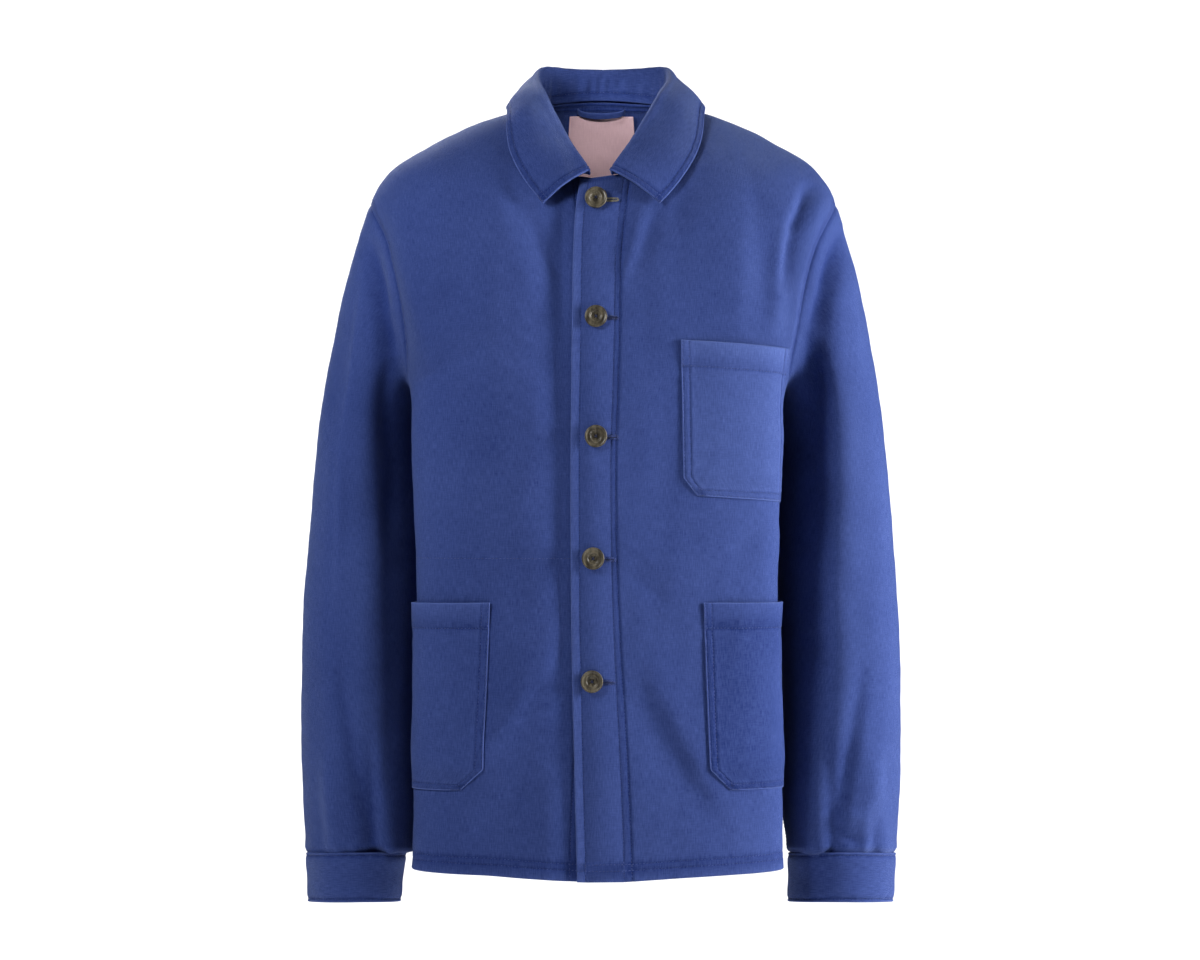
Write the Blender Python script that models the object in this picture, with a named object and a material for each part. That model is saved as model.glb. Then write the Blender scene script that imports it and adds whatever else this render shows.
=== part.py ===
"""Chore jacket, filled out as worn and empty inside, built as its sewn cloth pieces.

Frame: metres, +Z up, the front faces -Y and +X is the wearer's left. The origin is the point
between the shoulders, level with the back neck seam, where a wearer holds the jacket up.

The body is one surface, torso_point(angle, level). The angle runs from the front centre (0)
over the wearer's left side (pi / 2) to the back centre (pi), and the level from the hem (0) to
the neck seam (1). Fronts, back, pockets, label and loop are cut from it. A sleeve is a surface
plain_sleeve(side, turn, along) with folds, which leaves the armhole and runs down to the cuff.
Every cloth piece is a grid of points on its surface, made into a closed wall of its thickness.
"""
import math
from typing import NamedTuple

import bmesh
import bpy
import numpy as np

# Cloth
CLOTH = 0.0015             # wall of the single cloth pieces
COLLAR_CLOTH = 0.0022      # collar and cuffs are made double
LABEL_CLOTH = 0.0010
SEAM = 0.0003              # gap between neighbouring pieces at a seam
TINY = 1e-4                # step for slopes on a surface, in its own units

# Levels of the body surface
UNDERARM = 0.60
SHOULDER = 0.80
NECK = 1.0


class Ring(NamedTuple):
    """One section of the body, from the front centre round to the back centre."""

    level: float
    side_x: float
    side_y: float
    side_z: float
    front_y: float
    front_z: float
    back_y: float
    back_z: float
    front_power: float     # 2 is an ellipse, more is squarer
    back_power: float
    hug: float             # share by which the side is pressed in behind its widest point
    shift: float           # sideways


TORSO = (
    Ring(0.00, 0.1795, -0.045, -0.700, -0.118, -0.707, 0.122, -0.706, 2.5, 2.4, 0.112, -0.0030),
    Ring(0.14, 0.1797, -0.045, -0.600, -0.121, -0.603, 0.124, -0.602, 2.5, 2.4, 0.133, -0.0030),
    Ring(0.28, 0.1785, -0.045, -0.500, -0.122, -0.501, 0.120, -0.500, 2.5, 2.4, 0.157, -0.0035),
    Ring(0.42, 0.1797, -0.045, -0.400, -0.126, -0.400, 0.123, -0.398, 2.5, 2.4, 0.160, -0.0040),
    Ring(0.54, 0.1822, -0.040, -0.315, -0.129, -0.315, 0.130, -0.308, 2.5, 2.4, 0.145, -0.0035),
    Ring(0.60, 0.1815, -0.030, -0.275, -0.129, -0.275, 0.133, -0.262, 2.6, 2.4, 0.147, -0.0030),
    Ring(0.68, 0.1960, -0.010, -0.205, -0.125, -0.222, 0.135, -0.200, 2.8, 2.5, 0.080, 0.0000),
    Ring(0.76, 0.2080, 0.000, -0.128, -0.117, -0.172, 0.128, -0.140, 2.8, 2.5, 0.020, 0.0015),
    Ring(0.80, 0.2120, 0.003, -0.0965, -0.112, -0.150, 0.122, -0.112, 2.6, 2.4, 0.000, 0.0020),
    Ring(0.84, 0.1970, 0.005, -0.0690, -0.108, -0.133, 0.115, -0.085, 2.4, 2.4, 0.000, 0.0022),
    Ring(0.90, 0.1545, 0.005, -0.0410, -0.102, -0.110, 0.104, -0.048, 2.1, 2.3, 0.000, 0.0035),
    Ring(0.95, 0.1150, 0.004, -0.0215, -0.098, -0.094, 0.093, -0.020, 1.8, 2.2, 0.000, 0.0045),
    Ring(1.00, 0.0720, 0.003, -0.0085, -0.094, -0.079, 0.081, 0.006, 1.65, 2.1, 0.000, 0.0040),
)
HUG_ANGLE = 1.80           # where the arm lies against the side
HUG_SPREAD = 0.42
BODY_RADIUS = 0.13         # a first guess, to turn distances into angles


class Fold(NamedTuple):
    """A soft ridge (height above 0) or trough along a line on a surface.

    On the body a place is (angle, level), on a sleeve it is (turn, along).
    """

    start: tuple
    end: tuple
    width: float
    height: float


TORSO_FOLDS = (
    Fold((1.02, 0.86), (0.98, 0.70), 0.014, -0.0030),
    Fold((0.86, 0.80), (0.88, 0.66), 0.016, 0.0030),
    Fold((-1.20, 0.80), (-1.10, 0.66), 0.014, 0.0045),
    Fold((-0.92, 0.84), (-0.90, 0.66), 0.018, -0.0025),
    Fold((2.25, 0.80), (2.20, 0.60), 0.020, 0.0035),
    Fold((-2.25, 0.78), (-2.15, 0.58), 0.020, 0.0035),
    Fold((2.60, 0.52), (2.20, 0.40), 0.022, -0.0030),
    Fold((-2.55, 0.48), (-2.15, 0.38), 0.022, -0.0030),
)

# Armhole: a loop in (angle, level) round the side
ARMHOLE_FRONT = 0.37       # reach in angle before and behind the side
ARMHOLE_BACK = 0.48

# Front edges, x of the cloth's edge at named levels
FRONT_EDGE_LEVELS = (0.00, 0.30, 0.70, 0.86, 1.00)
FRONT_EDGE_X = (0.0212, 0.0260, 0.0258, 0.0240, 0.0195)
CORNER_DROP = 0.014        # level by which the neckline falls at the front corner
UNDERLAP = 0.0040          # how far the covered front lies inside
UNDERLAP_START = 0.60      # angle where it has come back to the body surface


class SleeveRing(NamedTuple):
    """One level section of a sleeve below the underarm, as its four extreme points."""

    z: float
    outer_x: float
    inner_x: float
    front_y: float
    back_y: float
    tilt: float            # rise towards the front, as a slope


SLEEVE = (
    SleeveRing(-0.330, 0.2610, 0.1625, -0.058, 0.078, 0.00),
    SleeveRing(-0.390, 0.2655, 0.1600, -0.058, 0.074, 0.00),
    SleeveRing(-0.450, 0.2705, 0.1605, -0.061, 0.066, 0.04),
    SleeveRing(-0.530, 0.2735, 0.1640, -0.066, 0.055, 0.08),
    SleeveRing(-0.600, 0.2732, 0.1665, -0.069, 0.045, 0.10),
    SleeveRing(-0.655, 0.2715, 0.1695, -0.068, 0.037, 0.10),
    SleeveRing(-0.690, 0.2685, 0.1750, -0.065, 0.029, 0.10),
)
FOLD_FREE = 0.15           # share of the sleeve over which its folds start
CAP_SHARE = 0.42           # share of the sleeve's grid that lies above the first ring
SLEEVE_FOLDS = (
    Fold((1.45, 0.74), (1.80, 1.00), 0.008, -0.0050),
    Fold((1.05, 0.86), (1.20, 1.00), 0.009, 0.0035),
    Fold((5.00, 0.60), (4.20, 0.50), 0.020, -0.0040),
    Fold((2.20, 0.45), (1.20, 0.55), 0.022, -0.0030),
    Fold((0.60, 0.20), (1.20, 0.42), 0.020, -0.0030),
    Fold((5.50, 0.22), (4.90, 0.44), 0.022, -0.0035),
)


class Cuff(NamedTuple):
    """The far and near x of a cuff's top and bottom rims."""

    outer_top: float
    outer_bottom: float
    inner_top: float
    inner_bottom: float


CUFF_RIGHT = Cuff(0.2685, 0.2668, 0.1785, 0.1835)
CUFF_LEFT = Cuff(0.2675, 0.2645, 0.1755, 0.1745)
CUFF_TOP = -0.6904
CUFF_HEIGHT = 0.0450
CUFF_FRONT_Y = -0.065
CUFF_BACK_Y = 0.027
CUFF_TILT = 0.10


class CollarStation(NamedTuple):
    """A cross-section of the collar: where it leaves the neck seam, rolls over and ends."""

    along: float           # 0 at the front end, 1 at the back centre
    neck_angle: float
    roll_x: float
    roll_y: float
    roll_z: float
    edge_angle: float
    edge_level: float
    edge_lift: float
    shift: float           # sideways


COLLAR = (
    CollarStation(0.00, 0.10, 0.0095, -0.0985, -0.0730, 0.455, 0.878, 0.0030, -0.0010),
    CollarStation(0.20, 0.62, 0.0288, -0.0670, -0.0425, 0.800, 0.930, 0.0035, -0.0005),
    CollarStation(0.42, 1.27, 0.0507, -0.0220, 0.0010, 1.220, 0.970, 0.0045, 0.0010),
    CollarStation(0.62, 1.95, 0.0597, 0.0330, 0.0240, 1.720, 0.980, 0.0055, 0.0030),
    CollarStation(0.74, 2.36, 0.0570, 0.0600, 0.0362, 2.250, 0.975, 0.0045, 0.0035),
    CollarStation(0.86, 2.75, 0.0330, 0.0790, 0.0370, 2.700, 0.965, 0.0045, 0.0030),
    CollarStation(1.00, math.pi, 0.0000, 0.0850, 0.0362, math.pi, 0.960, 0.0045, 0.0025),
)
LEAF_RISE = 0.0042         # arch of the leaf between its roll and its edge
ROLL_WIDTH = 0.0090        # from the stand to the leaf, just under the roll
ROLL_WIDTH_FRONT = 0.0065
ROLL_FALL = 0.0070         # how far under the roll's top that is measured
ROLL_FALL_FRONT = 0.0025
COLLAR_LIFT = 0.0026       # stand's foot above the neck seam


class Patch(NamedTuple):
    """A patch pocket: distances round the body from the front centre, and heights."""

    inner_top: float
    inner_bottom: float
    outer: float
    top_z: float
    bottom_z: float
    fall: float            # how much lower its outer side lies
    chamfer_across: float
    chamfer_up: float


PATCH_GAP = 0.0016
CHEST_PATCH = Patch(0.0705, 0.0730, 0.1790, -0.2260, -0.3640, 0.0060, 0.012, 0.016)
LEFT_PATCH = Patch(0.0930, 0.0990, 0.2300, -0.4585, -0.6255, 0.0010, 0.018, 0.019)
RIGHT_PATCH = Patch(0.0975, 0.1050, 0.2350, -0.4585, -0.6260, 0.0020, 0.020, 0.019)

# Neck trims
LABEL_WIDTH = 0.0650
LABEL_HEIGHT = 0.0700
LABEL_TOP_Z = -0.0045
LABEL_GAP = 0.0024
LOOP_SPAN = 0.0480
LOOP_TAPE = 0.0055
LOOP_TOP_Z = 0.0030
LOOP_DROOP = 0.0030
LOOP_GAP = 0.0016          # behind its sewn ends
LOOP_STAND = 0.0080        # more than that behind its middle

# Buttons
BUTTON_X = (-0.0045, -0.0045, -0.0045, -0.0070, -0.0080)
BUTTON_Z = (-0.0993, -0.2055, -0.3112, -0.4192, -0.5283)
BUTTON_RADIUS = 0.0100
BUTTON_HEIGHT = 0.0034
BUTTON_HOLE = 0.0009
BUTTON_HOLE_PITCH = 0.0017
BUTTON_SIDES = 16
BUTTON_CLEAR = 0.0006
# Turned profile above the back face, as shares of radius and height
BUTTON_PROFILE = ((0.80, 0.00), (1.00, 0.35), (0.97, 0.85), (0.86, 1.00), (0.56, 0.95),
                  (0.44, 0.62))

# Grid sizes
SIDE_ROWS = 12             # hem to underarm
SIDE_SHARE = 0.52          # share of a front's height that lies below the underarm
HALF_RING = 13             # underarm to shoulder point, also half a sleeve's ring
NECK_SHARE = 0.45          # share of a panel's columns that end at the neckline
TOP_HOLD = 4               # power by which the top edge's course fades out in the rows below it
PANEL_COLUMNS = 16         # from the front or back centre to the side
CAP_ROWS = 10
TUBE_ROWS = 15
CUFF_ROWS = 3
REFINE = 4                 # a sleeve's normals come from a grid this much finer
COLLAR_COLUMNS = 37
COLLAR_UPS = (0.0, 0.18, 0.35, 0.40, 0.45, 0.50, 0.55, 0.60, 0.65, 0.82, 1.0)
PATCH_ROWS = 8
PATCH_COLUMNS = 10
LABEL_CELLS = 6
LOOP_COLUMNS = 11


class Finish(NamedTuple):
    """Colour (linear), roughness and metallic value of a piece."""

    colour: tuple
    roughness: float
    metallic: float


TWILL = Finish((0.042, 0.062, 0.205), 0.85, 0.0)
LABEL_TWILL = Finish((0.440, 0.290, 0.320), 0.80, 0.0)
HORN = Finish((0.060, 0.048, 0.034), 0.45, 0.1)


def hermite(start, end, start_slope, end_slope, share):
    """Cubic from start to end with the given slopes, at a share of the way."""
    square, cube = share ** 2, share ** 3
    return ((2 * cube - 3 * square + 1) * start + (cube - 2 * square + share) * start_slope
            + (3 * square - 2 * cube) * end + (cube - square) * end_slope)


def smooth(knots, values, at):
    """A curve through a table's rows: each row's slope comes from its neighbours."""
    order = np.argsort(knots)
    knots, values = np.asarray(knots, float)[order], np.asarray(values, float)[order]
    slopes = np.gradient(values, knots)
    row = np.clip(np.searchsorted(knots, at, side="right") - 1, 0, len(knots) - 2)
    step = knots[row + 1] - knots[row]
    share = (at - knots[row]) / step
    return hermite(values[row], values[row + 1], slopes[row] * step, slopes[row + 1] * step, share)


def column(table, name, key, at):
    """One named column of a table, smoothed over its key column."""
    return smooth([getattr(row, key) for row in table], [getattr(row, name) for row in table], at)


def ease(share):
    """From 0 to 1 with level ends."""
    share = np.clip(share, 0.0, 1.0)
    return share * share * (3.0 - 2.0 * share)


def unit(vectors):
    """The vectors scaled to length 1."""
    return vectors / np.linalg.norm(vectors, axis=-1, keepdims=True)


def normal_of(surface, u, v):
    """Outward normal of a surface whose first parameter runs to the wearer's left."""
    across = surface(u + TINY, v) - surface(u - TINY, v)
    up = surface(u, v + TINY) - surface(u, v - TINY)
    return unit(np.cross(across, up))


def fold_lines(folds, surface):
    """Each fold with its line's start and run in space."""
    starts = [surface(*(np.array(value, float) for value in fold.start)) for fold in folds]
    ends = [surface(*(np.array(value, float) for value in fold.end)) for fold in folds]
    return [(fold, start, end - start) for fold, start, end in zip(folds, starts, ends)]


def fold_height(points, lines):
    """Sum of the folds' heights at the points, by each point's distance from the fold's line."""
    total = np.zeros(points.shape[:-1])
    for fold, start, line in lines:
        share = np.clip((points - start) @ line / (line @ line), 0.0, 1.0)
        away = np.linalg.norm(points - start - share[..., None] * line, axis=-1)
        taper = 0.25 + 0.75 * np.sin(math.pi * share)
        total += fold.height * taper * np.exp(-(away / fold.width) ** 2)
    return total


def plain_torso(angle, level):
    """Body surface without folds."""
    angle, level = np.broadcast_arrays(np.asarray(angle, float), np.asarray(level, float))
    ring = {name: column(TORSO, name, "level", level) for name in Ring._fields[1:]}
    side, ahead = np.abs(np.sin(angle)), np.cos(angle)
    in_front = ahead > 0.0
    depth = np.where(in_front, ring["side_y"] - ring["front_y"], ring["back_y"] - ring["side_y"])
    power = np.where(in_front, ring["front_power"], ring["back_power"])
    far_z = np.where(in_front, ring["front_z"], ring["back_z"])
    radius = ((side / ring["side_x"]) ** power + (np.abs(ahead) / depth) ** power) ** (-1.0 / power)
    folded = np.arccos(np.clip(ahead, -1.0, 1.0))
    hug = 1.0 - ring["hug"] * np.exp(-((folded - HUG_ANGLE) / HUG_SPREAD) ** 2)
    x = np.sign(np.sin(angle)) * radius * side * hug + ring["shift"] * side ** 2
    y = ring["side_y"] - radius * ahead
    z = far_z * ahead ** 2 + ring["side_z"] * side ** 2
    return np.stack([x, y, z], axis=-1)


TORSO_LINES = fold_lines(TORSO_FOLDS, plain_torso)


def torso_point(angle, level):
    """Body surface with its folds."""
    points = plain_torso(angle, level)
    height = fold_height(points, TORSO_LINES)
    return points + height[..., None] * normal_of(plain_torso, np.asarray(angle, float), level)


def armhole_level(turn):
    """Level of the armhole seam. The turn is 0 at the shoulder and pi / 2 in front."""
    return (SHOULDER + UNDERARM) / 2 + (SHOULDER - UNDERARM) / 2 * np.cos(turn)


def armhole(side, turn):
    """The armhole seam as (angle, level)."""
    reach = np.where(np.sin(turn) > 0.0, ARMHOLE_FRONT, ARMHOLE_BACK)
    return side * (math.pi / 2 - reach * np.sin(turn)), armhole_level(turn)


def sleeve_ring(side, turn, z):
    """A point of the sleeve's tube at a height."""
    ring = {name: column(SLEEVE, name, "z", z) for name in SleeveRing._fields[1:]}
    middle_x, half_x = (ring["outer_x"] + ring["inner_x"]) / 2, (ring["outer_x"] - ring["inner_x"]) / 2
    middle_y, half_y = (ring["front_y"] + ring["back_y"]) / 2, (ring["back_y"] - ring["front_y"]) / 2
    x = middle_x + half_x * np.cos(turn)
    forward = half_y * np.sin(turn)
    return np.stack([side * x, middle_y - forward, z + ring["tilt"] * forward], axis=-1)


def plain_sleeve(side, turn, along):
    """Sleeve surface without folds: a cap from the armhole, then the tube."""
    turn, along = np.broadcast_arrays(np.asarray(turn, float), np.asarray(along, float))
    top_z, end_z = SLEEVE[0].z, SLEEVE[-1].z
    angle, level = armhole(side, turn)
    start = torso_point(angle, level)
    seam = torso_point(*armhole(side, turn + TINY)) - torso_point(*armhole(side, turn - TINY))
    inward = side * unit(np.cross(normal_of(torso_point, angle, level), seam))
    top = sleeve_ring(side, turn, np.full_like(turn, top_z))
    below = sleeve_ring(side, turn, np.full_like(turn, top_z - TINY))
    down = unit(below - top)
    chord = np.linalg.norm(top - start, axis=-1, keepdims=True)
    under = ((1.0 - np.cos(turn)) / 2)[..., None] ** 3
    over = np.maximum(np.cos(turn), 0.0)[..., None] ** 2
    outward = side * np.array([1.0, 0.0, 0.0])
    lean = unit(inward * (0.3 + 0.7 * under) + unit(top - start) * 0.7 * (1.0 - under)
                + outward * 0.28 * over)
    start_reach = chord * 0.6 + 0.035 * under
    end_reach = chord * (1.0 + 0.6 * under)
    share = np.clip(along / CAP_SHARE, 0.0, 1.0)[..., None]
    cap = hermite(start + SEAM * inward, top, lean * start_reach, down * end_reach, share)
    z = top_z + (end_z - top_z) * np.clip((along - CAP_SHARE) / (1.0 - CAP_SHARE), 0.0, 1.0)
    tube = sleeve_ring(side, turn, z)
    return np.where((along < CAP_SHARE)[..., None], cap, tube)


def ring_normals(points):
    """Outward normals of a left tube whose columns run round it by way of the front."""
    wrapped = np.concatenate([points[:, -1:], points, points[:, :1]], axis=1)
    return unit(np.cross(wrapped[:, 2:] - wrapped[:, :-2], np.gradient(points, axis=0)))


def sleeve_grid(side, turn, along):
    """Sleeve surface and outward normals on a grid, with folds that fade out at the armhole."""
    turn_grid, along_grid = np.meshgrid(turn, along)
    points = plain_sleeve(side, turn_grid, along_grid)
    lines = fold_lines(SLEEVE_FOLDS, lambda at_turn, at_along: plain_sleeve(side, at_turn, at_along))
    height = fold_height(points, lines) * ease(along_grid / FOLD_FREE)
    points = points + height[..., None] * side * ring_normals(points)
    normals = side * ring_normals(points)
    normals[0] = normal_of(torso_point, *armhole(side, turn))
    return points, normals


def wall(points, normals, thickness, ring=False):
    """Closed wall on a grid of points, in triangles. A ring's columns run round and join up."""
    rows, columns = points.shape[:2]
    outer = (points + normals * thickness / 2).reshape(-1, 3)
    inner = (points - normals * thickness / 2).reshape(-1, 3)
    index = np.arange(rows * columns).reshape(rows, columns)
    if ring:
        index = np.concatenate([index, index[:, :1]], axis=1)
    a, b, c, d = index[:-1, :-1], index[:-1, 1:], index[1:, 1:], index[1:, :-1]
    front = np.stack([a, b, c, a, c, d], axis=-1).reshape(-1, 3)
    back = front[:, ::-1] + rows * columns
    rims = [index[0], index[-1][::-1]]
    if not ring:
        rims += [index[::-1, 0], index[:, -1]]
    edges = []
    for rim in rims:
        near, far = rim[1:], rim[:-1]
        edges += [np.stack([near, far, far + rows * columns], axis=-1),
                  np.stack([near, far + rows * columns, near + rows * columns], axis=-1)]
    return np.concatenate([outer, inner]), np.concatenate([front, back] + edges)


def material(name, finish):
    """A Principled material of one colour."""
    made = bpy.data.materials.new(name)
    made.use_nodes = True
    shader = made.node_tree.nodes["Principled BSDF"]
    shader.inputs["Base Color"].default_value = (*finish.colour, 1.0)
    shader.inputs["Roughness"].default_value = finish.roughness
    shader.inputs["Metallic"].default_value = finish.metallic
    return made


def add_object(name, mesh, finish):
    """Put a mesh in the scene, with a material of its own."""
    made = bpy.data.objects.new(name, mesh)
    mesh.materials.append(material(name + "_finish", finish))
    bpy.context.scene.collection.objects.link(made)
    return made


def add_wall(name, points, normals, thickness, finish, ring=False):
    """Put a cloth wall in the scene, facing outwards and shaded smooth."""
    corners, faces = wall(points, normals, thickness, ring)
    mesh = bpy.data.meshes.new(name)
    mesh.from_pydata(corners.tolist(), [], faces.tolist())
    shape = bmesh.new()
    shape.from_mesh(mesh)
    bmesh.ops.recalc_face_normals(shape, faces=shape.faces)
    shape.to_mesh(mesh)
    shape.free()
    mesh.shade_smooth()
    mesh.set_sharp_from_angle(angle=math.radians(50))
    return add_object(name, mesh, finish)


def span(top, left, right, up):
    """A grid of 2-D places: straight rows from left to right that bend towards the top edge."""
    across = np.linspace(0.0, 1.0, len(top))[None, :, None]
    rows = (1 - across) * left[:, None] + across * right[:, None]
    return rows + up[:, None, None] ** TOP_HOLD * (top - rows[-1])[None]


def side_limit(level):
    """Angle from the centre to a panel's side or shoulder seam, less half the seam's gap."""
    return math.pi / 2 - SEAM / 2 / column(TORSO, "side_x", "level", level)


def half_panel(start_of, reach):
    """Half the body's front or back, as angles from its centre and levels.

    The columns start at the angle start_of(level) and end at the side seam and the armhole.
    The rows end at the top on the neckline and then down the shoulder seam.
    """
    up = np.concatenate([np.linspace(0.0, SIDE_SHARE, SIDE_ROWS),
                         np.linspace(SIDE_SHARE, 1.0, HALF_RING)[1:]])
    turn = np.linspace(math.pi, 0.0, HALF_RING)[1:]
    seam_level = np.linspace(0.0, UNDERARM, SIDE_ROWS)
    right = np.concatenate([np.stack([side_limit(seam_level), seam_level], axis=-1),
                            np.stack([math.pi / 2 - reach * np.sin(turn), armhole_level(turn)], -1)])
    left = np.stack([start_of(up), up], axis=-1)
    across = np.linspace(0.0, 1.0, PANEL_COLUMNS)
    neck_share = round(NECK_SHARE * (PANEL_COLUMNS - 1)) / (PANEL_COLUMNS - 1)
    on_seam = np.clip((across - neck_share) / (1 - neck_share), 0.0, 1.0)
    top_level = NECK - (NECK - SHOULDER) * on_seam
    on_neck = np.clip(across / neck_share, 0.0, 1.0)
    top_angle = left[-1, 0] + (side_limit(top_level) - left[-1, 0]) * on_neck
    grid = span(np.stack([top_angle, top_level], axis=-1), left, right, up)
    return grid[..., 0], grid[..., 1]


def front_depth(level):
    """Distance of the front centre from the ring's middle."""
    return column(TORSO, "side_y", "level", level) - column(TORSO, "front_y", "level", level)


def front_start(level):
    """Angle of the cloth's edge past the front centre."""
    return -np.arctan(smooth(FRONT_EDGE_LEVELS, FRONT_EDGE_X, level) / front_depth(level))


def front_panel(side):
    """One front, from its edge past the centre to the side seam, armhole and shoulder."""
    angle, level = half_panel(front_start, ARMHOLE_FRONT)
    corner = ease(-angle / 0.2) * ease((level - SHOULDER) / (NECK - SHOULDER))
    return side * angle, level - CORNER_DROP * corner


def covered_depth(angle):
    """How far the covered front lies inside the body surface."""
    return UNDERLAP * ease((UNDERLAP_START - np.abs(angle)) / UNDERLAP_START * 1.6)


def add_fronts():
    """Both fronts. The wearer's left one laps over the right one."""
    for name, side in (("front_right", -1), ("front_left", 1)):
        angle, level = front_panel(side)
        points, normals = torso_point(angle, level), normal_of(torso_point, angle, level)
        if side < 0:
            points = points - covered_depth(angle)[..., None] * normals
        add_wall(name, points, normals, CLOTH, TWILL)


def add_back():
    """The back in one piece, from side seam to side seam."""
    angle, level = half_panel(np.zeros_like, ARMHOLE_BACK)
    angle = np.concatenate([math.pi - angle[:, :0:-1], math.pi + angle], axis=1)
    level = np.concatenate([level[:, :0:-1], level], axis=1)
    add_wall("back", torso_point(angle, level), normal_of(torso_point, angle, level), CLOTH, TWILL)


def add_sleeves():
    """Both sleeves, each one tube from the armhole to the cuff seam."""
    turn = np.linspace(0.0, 2 * math.pi, 2 * (HALF_RING - 1) * REFINE + 1)[:-1]
    cap = np.linspace(0.0, CAP_SHARE, (CAP_ROWS - 1) * REFINE + 1)
    tube = np.linspace(CAP_SHARE, 1.0, (TUBE_ROWS - 1) * REFINE + 1)[1:]
    for name, side in (("sleeve_right", -1), ("sleeve_left", 1)):
        points, normals = sleeve_grid(side, turn, np.concatenate([cap, tube]))
        kept = slice(None, None, REFINE)
        add_wall(name, points[kept, kept], normals[kept, kept], CLOTH, TWILL, ring=True)


def add_cuffs():
    """Both cuffs, each a plain band."""
    turn = np.linspace(0.0, 2 * math.pi, 2 * HALF_RING - 1)[:-1]
    turn, down = np.meshgrid(turn, np.linspace(0.0, 1.0, CUFF_ROWS))
    middle_y, half_y = (CUFF_FRONT_Y + CUFF_BACK_Y) / 2, (CUFF_BACK_Y - CUFF_FRONT_Y) / 2
    for name, side, cuff in (("cuff_right", -1, CUFF_RIGHT), ("cuff_left", 1, CUFF_LEFT)):
        outer = cuff.outer_top + (cuff.outer_bottom - cuff.outer_top) * down
        inner = cuff.inner_top + (cuff.inner_bottom - cuff.inner_top) * down
        x = (outer + inner) / 2 + (outer - inner) / 2 * np.cos(turn)
        forward = half_y * np.sin(turn)
        z = CUFF_TOP - CUFF_HEIGHT * down + CUFF_TILT * forward
        points = np.stack([side * x, middle_y - forward, z], axis=-1)
        add_wall(name, points, side * ring_normals(points), COLLAR_CLOTH, TWILL, ring=True)


def collar_point(across, up):
    """Collar surface: across from the right front end (-1) to the left one (1), up from the seam."""
    side, along = np.sign(across), 1.0 - np.abs(across)
    side = np.where(side == 0.0, 1.0, side)
    station = {name: column(COLLAR, name, "along", along) for name in CollarStation._fields[1:]}
    foot = plain_torso(side * station["neck_angle"], np.full_like(along, NECK))
    foot = foot + np.array([0.0, 0.0, COLLAR_LIFT])
    roll_x = side * station["roll_x"] + station["shift"]
    roll = np.stack([roll_x, station["roll_y"], station["roll_z"]], axis=-1)
    edge_at = side * station["edge_angle"], station["edge_level"]
    edge = plain_torso(*edge_at) + station["edge_lift"][..., None] * normal_of(plain_torso, *edge_at)
    width = (ROLL_WIDTH_FRONT + (ROLL_WIDTH - ROLL_WIDTH_FRONT) * ease(along / 0.4))[..., None]
    fall = (ROLL_FALL_FRONT + (ROLL_FALL - ROLL_FALL_FRONT) * ease(along / 0.4))[..., None]
    rising, falling = unit(roll - foot), unit(edge - roll)
    crest, apart = unit(rising - falling), unit(rising + falling)
    inner = roll - apart * width / 2 - crest * fall
    outer = roll + apart * width / 2 - crest * fall
    share = up[..., None]
    stand = foot + (inner - foot) * (share / 0.35)
    roll_share = np.clip((share - 0.35) / 0.30, 0.0, 1.0)
    arch = hermite(inner, outer, unit(inner - foot) * 4 * fall, unit(edge - outer) * 4 * fall,
                   roll_share)
    leaf_share = (share - 0.65) / 0.35
    rise = unit(apart - falling * np.sum(apart * falling, axis=-1, keepdims=True))
    leaf = outer + (edge - outer) * leaf_share + rise * LEAF_RISE * np.sin(math.pi * leaf_share)
    points = np.where(share < 0.35, stand, np.where(share < 0.65, arch, leaf))
    return points


def add_collar():
    """The collar: stand, roll and leaf in one wall."""
    across, up = np.meshgrid(np.linspace(-1.0, 1.0, COLLAR_COLUMNS), COLLAR_UPS)
    points, normals = collar_point(across, up), normal_of(collar_point, across, up)
    add_wall("collar", points, normals, COLLAR_CLOTH, TWILL)


def level_at(z, angle):
    """Level of the body surface that is at a height, at each angle."""
    levels = np.linspace(0.0, NECK, 201)
    front = column(TORSO, "front_z", "level", levels)
    side = column(TORSO, "side_z", "level", levels)
    ahead = np.cos(angle) ** 2
    found = [np.interp(height, front * share + side * (1.0 - share), levels)
             for height, share in zip(np.ravel(z), np.ravel(ahead))]
    return np.reshape(found, np.shape(z))


def angle_at(distance, level):
    """Angle at a distance round the body from the front centre, at each level."""
    angles = np.linspace(0.0, math.pi, 181)
    rings = [plain_torso(angles, np.full_like(angles, value)) for value in np.ravel(level)]
    runs = [np.concatenate([[0.0], np.cumsum(np.linalg.norm(np.diff(ring, axis=0), axis=1))])
            for ring in rings]
    found = [np.interp(value, run, angles) for value, run in zip(np.ravel(distance), runs)]
    return np.reshape(found, np.shape(distance))


def patch_grid(patch, rows, columns):
    """A patch pocket on the body surface as (angle, level), its inner bottom corner cut off."""
    height = patch.top_z - patch.bottom_z
    turn_share = 1.0 - patch.chamfer_up / height
    down = np.concatenate([np.linspace(0.0, turn_share, rows - 2), [(1 + turn_share) / 2, 1.0]])
    inner = patch.inner_top + (patch.inner_bottom - patch.inner_top) * down
    inner = inner + patch.chamfer_across * np.clip((down - turn_share) / (1 - turn_share), 0.0, 1.0)
    share = np.linspace(0.0, 1.0, columns)
    distance = inner[:, None] + (patch.outer - inner)[:, None] * share
    z = (patch.top_z - height * down)[:, None] - patch.fall * share
    angle = distance / BODY_RADIUS
    for _ in range(3):
        level = level_at(z, angle)
        angle = angle_at(distance, level)
    return angle, level


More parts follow.
